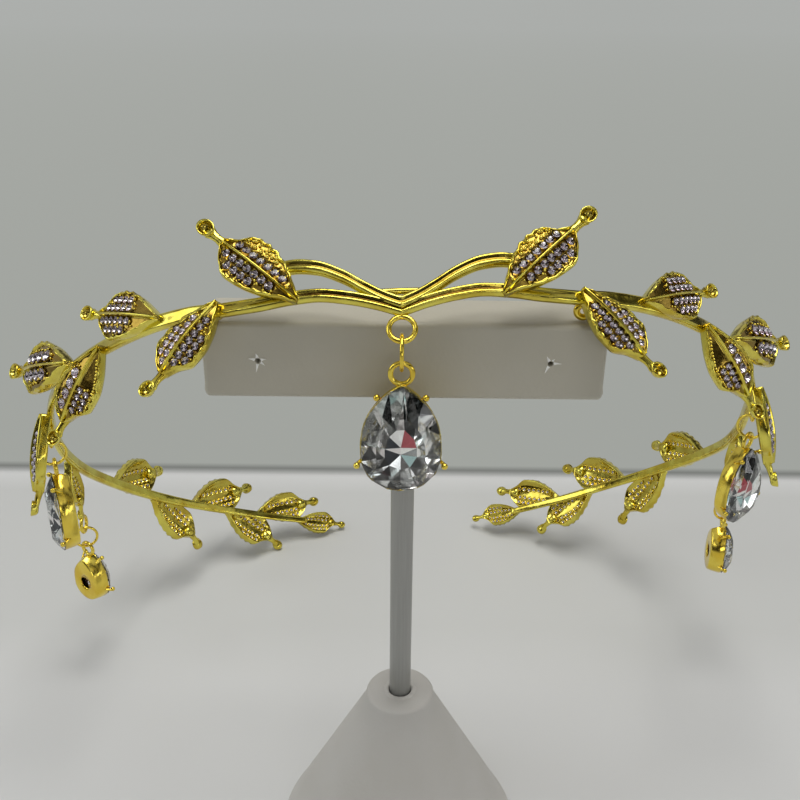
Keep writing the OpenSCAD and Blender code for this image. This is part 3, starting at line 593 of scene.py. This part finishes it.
def leaf_loop(s, seats, wavy):
    """One section of a leaf across its length, top, walls and hollow back, and how much painted shade each
    point gets.
    """
    top = []
    for lobe, sign in ((2, -1), (1, 1)):
        w = lobe_w(s, lobe, wavy)
        rim_at = min(rim_w, 0.4 * w)
        rib_at = min(rib_w / 2, (w - rim_at) * 0.7)
        half = [(rib_at * f, relief * h, 0.0 if f < 0.8 else 0.6)
                for f, h in ((0, 1.7), (0.35, 1.5), (0.7, 0.7), (1, 0.02))]
        for k in range(1, 10):
            v = rib_at + (w - rim_at - rib_at) * k / 10
            dip = 0
            for ss, vv, d in seats:
                r = math.hypot((s - ss) * leaf_len, sign * v - vv) / (d / 2)
                if r < seat_reach:
                    dip = max(dip, seat_deep * min(1, (seat_reach - r) * 2.2))
            half.append((v, -dip, 1.0))
        proud = 1 + wavy * (0.25 + 0.22 * math.sin(s * 31 + lobe * 2) + 0.12 * math.sin(s * 67 + lobe))
        for f, h in ((1, 0.02), (0.78, 0.85), (0.55, 1.05), (0.25, 1.0), (0.05, 0.7)):
            half.append((w - rim_at * f, relief * h * (proud if h > 0.5 else 1), 0.6 if f > 0.9 else 0.0))
        line = [(sign * v, bed_height(s, v) + h, b) for v, h, b in half]
        top += line[:0:-1] if sign < 0 else line
    up_z, low_z = (bed_height(s, lobe_w(s, lobe, wavy)) for lobe in (1, 2))
    up, low = lobe_w(s, 1), lobe_w(s, 2)
    wall_rows = [(f if wavy else 1 - 0.15 * g, g)
                 for f, g in ((1.0, 0.12), (0.985, 0.4), (0.95, 0.75), (0.9, 1.0))]
    wall = [(up * f, up_z + (-leaf_t - up_z) * g, 0.0) for f, g in wall_rows]
    other = [(-low * f, low_z + (-leaf_t - low_z) * g, 0.0) for f, g in wall_rows[::-1]]
    hollow = max(0.0, min(1.0, (min(up, low) - 1.1) / 0.8))
    back = []
    for k in range(13):
        f = 1 - k / 6
        v = (up if f > 0 else low) * f * back_share
        roof = min(bed_height(s, abs(v)) - back_wall, -leaf_t + hollow_h)
        back.append((v, -leaf_t + max(0.0, roof + leaf_t) * (hollow if 0 < k < 12 else 0.0), 0.35))
    ring = top + wall + back + other
    return [(s * leaf_len, v, z) for v, z, _ in ring], [b for _, _, b in ring]


steps = [0, 0.02, 0.045, 0.075, 0.105] + list(np.linspace(0.135, 0.94, 36)) + [0.96, 0.98, 1.0]
# Painted shade: the gold darkens in the stone beds, at the foot of the midrib and rim, on the hollow back and
# inside the stem's cup.
leaf_gold, tree, shader, ramp = polished_gold("leaf_gold", (0.81, 0.72, 0.13), (0.60, 0.45, 0.05), 0.11, 0.5)
darkened(tree, shader, ramp, (0.33, 0.22, 0.04))
stem = [[(x, half * (1 + 0.06 * math.sin(x * 2.7)) * c, z + deep * s) for c, s in circle(14)]
        for x, half, deep, z in stem_rows]
cup = [[(leaf_len + stem_len + r * c * 1.12, r * s, z) for c, s in circle(20)] for r, z, _ in cup_rows]
stem_dark = [0.0] * (14 * len(stem)) + [b for _, _, b in cup_rows for _ in range(20)]
rows, dark = [], []
for side in (-1, 1):
    for row in leaf_rows:
        turn, shift = leaf_place(row, side)
        seats = stones_of(row)
        loops, shades = zip(*(leaf_loop(s, seats, 0.0 if row == beside_drop else 1.0) for s in steps))
        rows += [[np.array(loop) @ turn.T + shift for loop in shape] for shape in (loops, stem, cup)]
        dark += [b for shade in shades for b in shade] + stem_dark
leaves = piece("leaves", *skinned(*rows), [leaf_gold])
marked(leaves.data, "sunk", "FLOAT", "POINT", dark)
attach(leaves, "diadem")
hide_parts("band")

# ---- Leaf stones ----
# Round foiled glass brilliants, set in rows beside each midrib: one row on the upper lobe, two on
# the lower. Each shows a table, a ring of crown facets and silver foil under its girdle.
stone_lift, per_metre = 0.36, 1000
# Painted reflections: the foil's facets are painted white, lilac-grey and near black, as if they mirrored
# bright lamps and a dark room.
chip_reflection_tones = [(1, 1, 1, 1), (0.50, 0.44, 0.47, 1), (1, 0.99, 1, 1), (0.06, 0.04, 0.045, 1), (1, 1, 1, 1)]


def clear_glass(name, tint):
    """Clear glass with a faint tint and a few polishing marks in its gloss."""
    finish, tree, shader, place = new_finish(name)
    rub = speckle(tree, place, 700.0, 2.0)
    tree.links.new(spread(tree, rub, 0.45, 0.8, 0.0, 0.04), shader.inputs["Roughness"])
    shader.inputs["Base Color"].default_value = (*tint, 1)
    shader.inputs["Transmission Weight"].default_value = 1.0
    shader.inputs["IOR"].default_value = 1.54
    return finish


def silver_foil(name, tone, mirror):
    """Silver foil behind the glass, more or less of a mirror, whose facets are painted in different tones as
    reflections.
    """
    finish, tree, shader, _ = new_finish(name)
    hue = wired(tree, "ShaderNodeAttribute", attribute_name="tint").outputs["Color"]
    tree.links.new(blended(tree, 1.0, (*tone, 1), hue, blend_type="MULTIPLY"), shader.inputs["Base Color"])
    shader.inputs["Metallic"].default_value = mirror
    shader.inputs["Roughness"].default_value = 0.08
    return finish


def brilliant():
    """A round stone of one unit across: table, crown, girdle and foiled pavilion."""
    verts = [(0.5 * c, 0.5 * s, 0.0) for c, s in circle(16)]
    verts += [(0.28 * c, 0.28 * s, 0.17) for c, s in circle(8, 0.25)] + [(0, 0, -0.36)]
    faces = [tuple(range(16, 24))]
    for k in range(8):
        a, b = 16 + k, 16 + (k + 1) % 8
        g = [(2 * k + j) % 16 for j in range(3)]
        faces += [(a, g[0], g[1]), (a, g[1], g[2], b)]
    crown = len(faces)
    faces += [(24, (2 * k + 2) % 16, (2 * k + 1) % 16, 2 * k) for k in range(8)]
    return verts, faces, crown


def node_tree(name, *sockets):
    """An empty Geometry Nodes tree with its named inputs, and what comes out of them."""
    tree = bpy.data.node_groups.new(name, "GeometryNodeTree")
    tree.interface.new_socket("Geometry", in_out="OUTPUT", socket_type="NodeSocketGeometry")
    for socket, kind in sockets:
        tree.interface.new_socket(socket, in_out="INPUT", socket_type="NodeSocket" + kind)
    return tree, wired(tree, "NodeGroupInput").outputs


def grown(made, tree, values):
    """Gives an object the plain mesh that a tree makes of it."""
    growing = made.modifiers.new("growing", "NODES")
    growing.node_group = tree
    for socket in tree.interface.items_tree:
        if socket.in_out == "INPUT" and socket.name in values:
            growing[socket.identifier] = values[socket.name]
    return settled(made)


# A pattern is seated on every point, turned and sized by the point's own values
seat_tree, given = node_tree("seated_on_points", ("Points", "Geometry"), ("Pattern", "Object"),
                             ("Finish", "Material"), ("Backing", "Material"))
turn, size, foil = (wired(seat_tree, "GeometryNodeInputNamedAttribute", {"Name": word}, data_type=kind)
                    for word, kind in (("turn", "FLOAT_VECTOR"), ("size", "FLOAT"), ("foil", "BOOLEAN")))
shape = wired(seat_tree, "GeometryNodeObjectInfo", {"Object": given["Pattern"]})
turned_by = wired(seat_tree, "FunctionNodeEulerToRotation", {0: turn.outputs[0]})
on_points = wired(seat_tree, "GeometryNodeInstanceOnPoints",
                  {"Points": given["Points"], "Instance": shape.outputs["Geometry"],
                   "Rotation": turned_by.outputs[0], "Scale": size.outputs[0]})
real = wired(seat_tree, "GeometryNodeRealizeInstances", {0: on_points.outputs[0]})
finished = wired(seat_tree, "GeometryNodeSetMaterial",
                 {"Geometry": real.outputs[0], "Material": given["Finish"]})
backed = wired(seat_tree, "GeometryNodeSetMaterial",
               {"Geometry": finished.outputs[0], "Selection": foil.outputs[0], "Material": given["Backing"]})
wired(seat_tree, "NodeGroupOutput", {0: backed.outputs[0]})


def seated(name, spots, pattern, finish, backing):
    """A plain mesh of a pattern seated on spots: place, upright direction, forward one and size of each."""
    mesh = bpy.data.meshes.new(name)
    mesh.from_pydata([tuple(p * mm) for p, _, _, _ in spots], [], [])
    turns = []
    for _, up, ahead, _ in spots:
        side = np.cross(up, ahead)
        side /= np.linalg.norm(side)
        turns += Matrix(np.stack((np.cross(side, up), side, up), 1).tolist()).to_euler()[:]
    marked(mesh, "turn", "FLOAT_VECTOR", "POINT", turns)
    marked(mesh, "size", "FLOAT", "POINT", [s * mm for _, _, _, s in spots])
    made = grown(placed(name, mesh), seat_tree, {"Pattern": pattern, "Finish": finish, "Backing": backing})
    bpy.data.objects.remove(pattern)
    return made


def pattern_of(name, verts, faces, smooth=True):
    """A pattern one unit across, which is sized where it is seated."""
    return piece(name, np.array(verts) * per_metre, faces, [], smooth)


def spot_on(row, side, s, v, lift, size):
    """A spot on a leaf, lifted off its bed, facing as the bed does there."""
    turn, shift = leaf_place(row, side)
    ahead = turn @ np.array((1, 0, leaf_arch * 4 * (1 - 2 * s) / leaf_len))
    across = turn @ np.array((0, 1, -math.copysign(math.tan(fold), v)))
    own = np.array((s * leaf_len, v, bed_height(s, v) + lift))
    up = np.cross(ahead, across)
    up = up / np.linalg.norm(up) * (1 if np.dot(up, turn[:, 2]) > 0 else -1)
    return own @ turn.T + shift, up, ahead / np.linalg.norm(ahead), size * row[3]


leaf_glass = clear_glass("leaf_stone_glass", (0.98, 0.95, 0.985))
leaf_foil = silver_foil("leaf_stone_foil", (1.0, 0.965, 0.99), 0.8)
for side, word in ((1, "right"), (-1, "left")):
    verts, faces, crown = brilliant()
    pattern = pattern_of("pattern_stone", verts, faces, smooth=False)
    marked(pattern.data, "foil", "BOOLEAN", "FACE", [i >= crown for i in range(len(faces))])
    tints = [c for i in range(len(faces)) for c in chip_reflection_tones[i * 7 % len(chip_reflection_tones)]]
    marked(pattern.data, "tint", "FLOAT_COLOR", "FACE", tints)
    spots = [spot_on(row, side, s, v, stone_lift, d * 0.97)
             for row in leaf_rows for s, v, d in stones_of(row)]
    stones = seated(f"leaf_stones_cut_{word}", spots, pattern, leaf_glass, leaf_foil)
    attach(stones, "diadem")
    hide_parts(f"leaf_stones_{word}")

# ---- Gold grains ----
# Gold grains are cast on the lobes: small ones that hold the stones, and larger nuggets in the
# margin of the upright leaves' upper lobes, near the notched rim.
grain_d, grain_pitch, nugget_size, grain_lift = 0.46, 0.72, 1.5, 0.12
off_rib, off_stone, off_rim = grain_d * 0.45, grain_d * 0.32, grain_d * 0.3
nugget_room, grain_room = 0.45, 0.6
bead_d, bead_step, bead_lift, beaded_leaf = 0.56, 0.036, 0.14, leaf_rows[3]
grain_gold = polished_gold("grain_gold", (0.94, 0.78, 0.15), (0.84, 0.64, 0.09), 0.12, 0.2)[0]
verts, faces = skinned(turned([(0.5 * math.cos(a), 0.5 * math.sin(a)) for a in (-0.5, 0.15, 0.75, 1.35)], 8))
pattern = pattern_of("pattern_grain", verts, faces)
spots = []
for side in (-1, 1):
    for row in leaf_rows:
        seats = stones_of(row)
        for i in range(int(leaf_len / grain_pitch)):
            for j in range(-12, 13):
                x, v = i * grain_pitch * 0.9, (j + 0.5 * (i % 2)) * grain_pitch
                s, lobe = x / leaf_len, 1 if v > 0 else 2
                near = min(math.hypot(x - ss * leaf_len, v - vv) - d / 2 for ss, vv, d in seats)
                if not 0.06 < s < 0.93 or abs(v) < rib_w / 2 + off_rib or near < off_stone:
                    continue
                nugget = row[2] > 0 and lobe == 1 and rows_on(row)[0][2] < 0.2
                if abs(v) > lobe_w(s, lobe, 1.0) - rim_w - off_rim or near > grain_room and not nugget:
                    continue
                wobble = math.sin(12.9898 * i + 78.233 * j + row[0])
                size = grain_d * (nugget_size if near > nugget_room and nugget else 1) * (1 + 0.18 * wobble)
                s, v = s + wobble * 0.012, v + math.sin(7.3 * wobble + j) * 0.12
                spots.append(spot_on(row, side, s, v, grain_lift, size))
for side in (-1, 1):
    for s in np.arange(0.16, 0.84, bead_step):
        spots.append(spot_on(beaded_leaf, side, s, lobe_w(s, 1) - rim_w - 0.34, bead_lift, bead_d))
grains = seated("gold_grains", spots, pattern, grain_gold, grain_gold)
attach(grains, "diadem")
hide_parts("band")

# ---- Stone seats at the back ----
# Behind every stone the casting is open: a thin collar stands on the leaf's hollow back, and the
# stone's foil shows in it.
collar_rows = [(0.5, -0.1), (0.5, 0.12), (0.44, 0.18), (0.36, 0.14), (0.34, -0.02)]
collar_deep, collar_share = -0.80, 0.95
verts, faces = skinned(turned(collar_rows, 12))
pattern = pattern_of("pattern_collar", verts, faces)
marked(pattern.data, "foil", "BOOLEAN", "FACE", [i == len(faces) - 1 for i in range(len(faces))])
marked(pattern.data, "tint", "FLOAT_COLOR", "FACE", [0.5, 0.48, 0.5, 1] * len(faces))
spots = []
for side in (-1, 1):
    for row in leaf_rows:
        for s, v, d in stones_of(row):
            at, up, ahead, size = spot_on(row, side, s, v, collar_deep, d * collar_share)
            spots.append((at, -up, ahead, size))
collars = seated("stone_seats", spots, pattern, grain_gold, leaf_foil)
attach(collars, "diadem")
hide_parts("band")

# ---- Cast rings and rest loops ----
# Rings cast on the band carry the drops: one under the V, one inside the strap at each temple and
# one at the stem of a low leaf each side. Two small loops behind the front rest on the bar.
cast_r, cast_wire, rest_d, rest_wire, rest_x, rest_gap, soldered = 1.975, 0.85, 3.2, 1.1, 28.5, 0.15, 0.1
temple_at, temple_in = 72, -0.4
lug_rows = [(-0.7, 0.35), (-0.5, 0.5), (0, 0.6), (0.5, 0.5), (0.7, 0.35)]
ring_tree, given = node_tree("wire_ring", ("Start", "Geometry"), ("Ring radius", "Float"),
                             ("Wire radius", "Float"), ("Metal", "Material"))
path, wire = (wired(ring_tree, "GeometryNodeCurvePrimitiveCircle",
                    {"Resolution": sides, "Radius": given[word]}).outputs[0]
              for sides, word in ((72, "Ring radius"), (16, "Wire radius")))
swept = wired(ring_tree, "GeometryNodeCurveToMesh", {"Curve": path, "Profile Curve": wire})
real = wired(ring_tree, "GeometryNodeRealizeInstances", {0: swept.outputs[0]})
plated = wired(ring_tree, "GeometryNodeSetMaterial",
               {"Geometry": real.outputs[0], "Material": given["Metal"]})
wired(ring_tree, "NodeGroupOutput", {0: plated.outputs[0]})


def wire_ring(name, radius, wire_d, metal, middle, across, upwards):
    """A ring of round wire in the plane of two directions, with its middle at a place in millimetres."""
    made = grown(placed(name, bpy.data.meshes.new(name)), ring_tree,
                 {"Ring radius": radius * mm, "Wire radius": wire_d / 2 * mm, "Metal": metal})
    made.data.polygons.foreach_set("use_smooth", [True] * len(made.data.polygons))
    a = Vector(across).normalized()
    b = (Vector(upwards) - a * a.dot(Vector(upwards))).normalized()
    m = Matrix((a, b, a.cross(b))).transposed().to_4x4()
    m.translation = Vector(middle) * mm
    made.data.transform(m)
    return made


def joined(name, parts):
    """One object of several parts, whose meshes keep their places."""
    work, finishes = bmesh.new(), []
    for part in parts:
        first = len(work.faces)
        work.from_mesh(part.data)
        work.faces.ensure_lookup_table()
        for face in work.faces[first:]:
            finish = part.data.materials[face.material_index]
            if finish not in finishes:
                finishes.append(finish)
            face.material_index = finishes.index(finish)
    mesh = bpy.data.meshes.new(name)
    work.to_mesh(mesh)
    work.free()
    for finish in finishes:
        mesh.materials.append(finish)
    for part in parts:
        bpy.data.objects.remove(part)
    return placed(name, mesh)


ring_gold = polished_gold("ring_gold", (0.93, 0.74, 0.12), (0.80, 0.57, 0.06), 0.10, 0.2)[0]
drop_row = leaf_rows[6]
origin = on_stand([(0, 0, 0)])[0]
centre_at = np.array((0, 0, strap_rows[0][1] * rise - (vine_d / 2 + cast_r - soldered)))
temple_z = through(strap_rows, 1, temple_at) * rise - strap_h / 2 - cast_r + soldered
parts, lugs, hangs = [], [], {}
at_temple = oval(temple_at, temple_z, temple_in)
for name, side, middle, t in (("centre", 1, centre_at, 0),
                              ("right_temple", 1, at_temple + bent(temple_at), temple_at),
                              ("left_temple", -1, at_temple, temple_at),
                              ("right_rear", 1, None, drop_row[0]), ("left_rear", -1, None, drop_row[0])):
    if middle is None:
        turn, shift = leaf_place(drop_row, side)
        reach = leaf_len + stem_len + (cup_r * drop_row[3] + cast_r - 0.15) / drop_row[3]
        at = turn @ np.array((reach, 0, 0)) + shift
    else:
        at = on_stand([middle * (side, 1, 1)])[0]
    across, upwards = (on_stand([np.array(p) * (side, 1, 1)])[0] - origin
                       for p in (along(t) if t else (1, 0, 0), (0, 0, 1)))
    parts.append(wire_ring(f"cast_{name}", cast_r, cast_wire, ring_gold, at, across, upwards))
    n = np.cross(across, upwards)
    n /= np.linalg.norm(n)
    down = np.array((0, 0, -1)) + n[2] * n
    hangs[name] = at + cast_r * down / np.linalg.norm(down)
for side in (-1, 1):
    lugs.append([upright_loop(side * (temple_at + t), temple_z + cast_r + 0.4, w, 0.62, -0.2, 2.2, 12)
                 for t, w in lug_rows])
    t = math.degrees(math.asin(rest_x / half_w))
    top = on_stand([oval(t, through(strap_rows, 1, t) * rise) * (side, 1, 1)])[0]
    rest_z = bar_top + rest_gap
    parts.append(wire_ring(f"rest_{side}", (rest_d - rest_wire) / 2, rest_wire, ring_gold,
                           (top[0], top[1] + 0.5, rest_z + rest_d / 2), (1, 0, 0), (0, 0, 1)))
    low_at, high_at = rest_z + rest_d - rest_wire / 2 - 0.3, max(top[2], rest_z + rest_d)
    lugs.append([])
    for f in (0, 0.15, 0.5, 0.85, 1):
        r = rest_wire / 2 * (0.95 if 0 < f < 1 else 0.5)
        y, z = top[1] + 0.2 - 0.2 * f, low_at + (high_at - low_at) * f
        lugs[-1].append([(top[0] + r * c, y + r * s, z) for c, s in circle(12)])
parts.append(piece("lugs", *skinned(*lugs), [ring_gold]))
cast_rings = joined("cast_rings_and_rests", parts)
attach(cast_rings, "diadem")
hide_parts("band")

# ---- Drops ----
# Every drop hangs on a jump ring of round wire. A pear glass stone with silver foil sits in a gold
# setting with an open back, ball prongs and a soldered bail.
jump_r, jump_wire, bail_r, bail_wire, jump_z, bail_z = 2.625, 0.65, 1.675, 0.85, -1.735, -5.145
crown_h, pavilion_h, setting_h, wall, fit, ball_r, girdle = 2.1, 2.6, 3.4, 0.4, 0.08, 0.6, -1.0
bail_sunk, bore = 0.95, -1.2
shoulder, tip_grow, low_prongs, high_prongs, back_hole_r, cuts = 3, 1.3, (-14, 194), 0.79, 1.6, 11
# Painted reflections: the foil's facets are painted white, grey and near black, as if they mirrored lamps and
# a dark room, and a few red and cyan ones are painted flashes of colour.
facet_reflection_tones = [(1, 1, 1), (0.50, 0.51, 0.50), (1, 1, 1), (0.04, 0.045, 0.045), (1, 1, 0.98), (0.93, 1, 1),
               (0.12, 0.12, 0.12), (1, 1, 1), (0.90, 0.86, 0.86)]
red_flash, dark_reflection = (0.5, 0.10, 0.12), (0.02, 0.025, 0.035)
keel_reflection_tones = [(1, 1, 1), (0.7, 1, 1), (0.35, 0.36, 0.36), red_flash, red_flash, (1, 1, 1), (1, 1, 1),
              dark_reflection, dark_reflection, dark_reflection, (0.9, 0.92, 0.92)]
# Each row: drop, body of its ring, body of its pear, ring's and pear's turn, width and length of the pear
drops = (("centre", "centre_link", "centre_drop", 0, 0, 12.7, 18.3),
         ("right_temple", "right_temple_drop", "right_temple_drop", 57, 42, 12.7, 18.3),
         ("left_temple", "left_temple_drop", "left_temple_drop", -64, -64, 12.7, 18.3),
         ("right_rear", "diadem", "diadem", 92, 80, 9.4, 13.2),
         ("left_rear", "diadem", "diadem", -65, 150, 9.4, 13.2))
neck_rows = [(0.25, 0.35, 0.3), (0.1, 0.55, 0.42), (-0.3, 0.72, 0.45), (-0.75, 0.85, 0.4), (-1.0, 0.6, 0.3)]


def pear_line(w, l, grow=0.0, arc=28, side_steps=18):
    """Pear outline, point up, from the middle of its round end."""
    r, tip = w / 2 + grow, l - w / 2 + grow * tip_grow
    line = [(r * math.cos(a), r * math.sin(a)) for a in (math.pi * (1 + k / arc) for k in range(arc + 1))]
    up = [(1 - (1 - k / side_steps) ** 1.4) for k in range(1, side_steps)]
    line += [(r * (1 - s ** shoulder), tip * s) for s in up]
    line += [(r * 0.02, tip * 0.995), (-r * 0.02, tip * 0.995)]
    return line + [(-r * (1 - s ** shoulder), tip * s) for s in reversed(up)]


def facing(at, face):
    """Carries a drop's own frame, with x across and y behind the stone, to its place and turn."""
    c, s = cosd(face), sind(face)
    return lambda p: (at[0] + p[0] * c - p[1] * s, at[1] + p[0] * s + p[1] * c, at[2] + p[2])


def pear_cut(w, l):
    """A pear stone: table, three rows of crown facets, girdle and a foiled pavilion with its keel."""
    n, mid, fine = cuts, (l - w) / 4, pear_line(w, l, 0, 60, 40)
    spans = [math.dist(fine[i], fine[(i + 1) % len(fine)]) for i in range(len(fine))]
    total, edge = sum(spans), []
    for k in range(2 * n):
        left, i = total * (k + 0.3 * math.sin(2.1 * k)) / (2 * n) if k else 0, 30
        while left > spans[i % len(fine)]:
            left -= spans[i % len(fine)]
            i += 1
        a, b = fine[i % len(fine)], fine[(i + 1) % len(fine)]
        f = left / spans[i % len(fine)]
        edge.append((a[0] + (b[0] - a[0]) * f, a[1] + (b[1] - a[1]) * f))

    def ring(f, y, odd, low=0.0):
        picks = edge[odd::2] if f < 1 else edge
        return [(x * f, y, mid - low + (z - mid) * f) for x, z in picks]
    verts = ring(1, -0.2, 0) + ring(1, 0.08, 0) + ring(0.82, -1.2, 1) + ring(0.60, -crown_h, 0)
    verts += ring(0.68, 1.0, 1, 0.3) + ring(0.40, 2.0, 0, 1.1)
    verts += [(0, pavilion_h - 0.05, mid - 1.7), (0, pavilion_h - 0.05, mid - 0.5)]
    low_edge, c, t, p, q, keel = (m * n for m in (2, 4, 5, 6, 7, 8))
    turns = [((k + 1) % n, 2 * k, 2 * k + 1, (2 * k + 2) % (2 * n)) for k in range(n)]
    faces = [tuple(range(t, t + n))]
    for k, (k2, a, b, d) in enumerate(turns):
        faces += [(t + k, c + k, t + k2), (t + k, a, c + k), (t + k2, c + k, d), (c + k, a, b), (c + k, b, d),
                  (a, low_edge + a, low_edge + b, b), (b, low_edge + b, low_edge + d, d)]
    crown = len(faces)
    ends = [keel + (1 if verts[q + k][2] + verts[q + (k + 1) % n][2] > 2 * mid else 0) for k in range(n)]
    for k, (k2, a, b, d) in enumerate(turns):
        faces += [(p + k, low_edge + b, low_edge + a), (p + k, low_edge + d, low_edge + b),
                  (q + k, p + k, low_edge + a), (q + k2, low_edge + d, p + k), (q + k, q + k2, p + k),
                  (q + k, ends[k], q + k2)]
    faces += [(q + (k + 1) % n, ends[k], ends[(k + 1) % n]) for k in range(n) if ends[k] != ends[(k + 1) % n]]
    return verts, faces, crown


def pear_setting(w, l):
    """The setting's wall, its back with a round opening and its ball prongs."""
    mid, back = (l - w) / 4, girdle + setting_h
    spans = [(-0.62, girdle + 0.75), (-0.45, girdle + 0.3), (-0.3, girdle + 0.14), (-0.14, girdle + 0.14),
             (-0.05, girdle + 0.32), (-0.42, back - 1.2), (-0.68, back - 0.35), (-0.8, back - 0.1),
             (-1.0, back)]
    lines = [[(x, y, z) for x, z in pear_line(w, l, grow)] for grow, y in spans]
    rear = lines[-1]
    hole = [(back_hole_r * math.sin(a), mid + back_hole_r * math.cos(a))
            for a in (math.atan2(x, z - mid) for x, _, z in rear)]
    for f, y in ((0.35, 0.0), (0.7, 0.0), (1.0, -0.02), (1.0, -wall)):
        lines.append([(x + (c[0] - x) * f, back + y, z + (c[1] - z) * f) for (x, _, z), c in zip(rear, hole)])
    inner = [(x, back - wall, z) for x, z in pear_line(w, l, bore)]
    halfway = [(c[0] + (x - c[0]) * 0.6, y, c[1] + (z - c[1]) * 0.6) for (x, y, z), c in zip(inner, hole)]
    lines += [halfway, inner]
    verts, faces = [v for line in lines for v in line], rings_of(lines, closed=True)
    prong, tip, bow = fit + ball_r, l - w / 2, w / 2 * shoulder * high_prongs ** (shoulder - 1)
    slant = math.hypot(tip, bow)
    spots = [((w / 2 + prong) * cosd(a), (w / 2 + prong) * sind(a)) for a in low_prongs]
    spots += [(s * (w / 2 * (1 - high_prongs ** shoulder) + prong * tip / slant),
               tip * high_prongs + prong * bow / slant) for s in (-1, 1)]
    for x, z in spots:
        inwards = np.array((-x, -(z - mid)))
        inwards = inwards / np.linalg.norm(inwards)
        loops, r = [], ball_r * 0.92
        for y, leg, f in ((1.5, 0.2, 1.15), (0.9, 0.3, 0.75), (0.35, 0.34, 0.22), (0, 0.36, 0)):
            loops.append([(x + inwards[0] * f + leg * c, girdle + y, z + inwards[1] * f + leg * s)
                          for c, s in circle(12)])
        for a in (-0.85, -0.5, -0.1, 0.3, 0.7, 1.1, 1.5):
            loops.append([(x + r * math.cos(a) * c, girdle - 0.4 - r * math.sin(a), z + r * math.cos(a) * s)
                          for c, s in circle(12)])
        faces += rings_of(loops, first=len(verts))
        verts += [v for loop in loops for v in loop]
    return verts, faces


def facet_reflection_tone(i, crown):
    """The painted reflection on a facet of the pear's foil: those round the keel have their own."""
    below = i - crown
    at_keel = below % 6 == 5
    tint = keel_reflection_tones[below // 6 % cuts] if at_keel else facet_reflection_tones[(i * 5 + i * i // 11) % len(facet_reflection_tones)]
    return (*tint, 1)


drop_glass = clear_glass("drop_stone_glass", (0.975, 0.985, 0.98))
drop_foil = silver_foil("drop_stone_foil", (1.0, 1.0, 0.99), 0.85)
setting_gold = polished_gold("setting_gold", (0.92, 0.73, 0.12), (0.78, 0.55, 0.06), 0.12, 0.25)[0]
for name, link_body, drop_body, ring_turn, face, w, l in drops:
    at = hangs[name]
    jump = wire_ring(f"{name}_jump_ring", jump_r, jump_wire, ring_gold, at + (0, 0, jump_z),
                     (-sind(ring_turn), cosd(ring_turn), 0), (0, 0, 1))
    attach(jump, link_body)
    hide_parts(f"{name}_ring")

    carry, drop_z = facing(at, face), bail_z - bail_r + bail_sunk - (l - w / 2 + (fit + wall) * tip_grow)
    verts, faces = pear_setting(w, l)
    wall_part = piece(f"{name}_wall", [carry((x, y, z + drop_z)) for x, y, z in verts], faces, [setting_gold])
    bail = wire_ring(f"{name}_bail", bail_r, bail_wire, setting_gold, carry((0, 0, bail_z)),
                     (cosd(face), sind(face), 0), (0, 0, 1))
    neck = [[carry((wide * c, deep * s, bail_z - bail_r + z)) for c, s in circle(12)]
            for z, wide, deep in neck_rows]
    neck_part = piece(f"{name}_neck", *skinned(neck), [setting_gold])
    setting = joined(f"{name}_pear_setting", [wall_part, bail, neck_part])
    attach(setting, drop_body)
    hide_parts(f"{name}_setting")

    verts, faces, crown = pear_cut(w, l)
    stone = piece(f"{name}_pear_stone", [carry((x, y + girdle, z + drop_z)) for x, y, z in verts], faces,
                  [drop_glass, drop_foil], smooth=False)
    stone.data.polygons.foreach_set("material_index", [int(i >= crown) for i in range(len(faces))])
    tints = [c for i in range(len(faces)) for c in facet_reflection_tone(i, crown)]
    marked(stone.data, "tint", "FLOAT_COLOR", "FACE", tints)
    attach(stone, drop_body)
    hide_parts(f"{name}_stone")
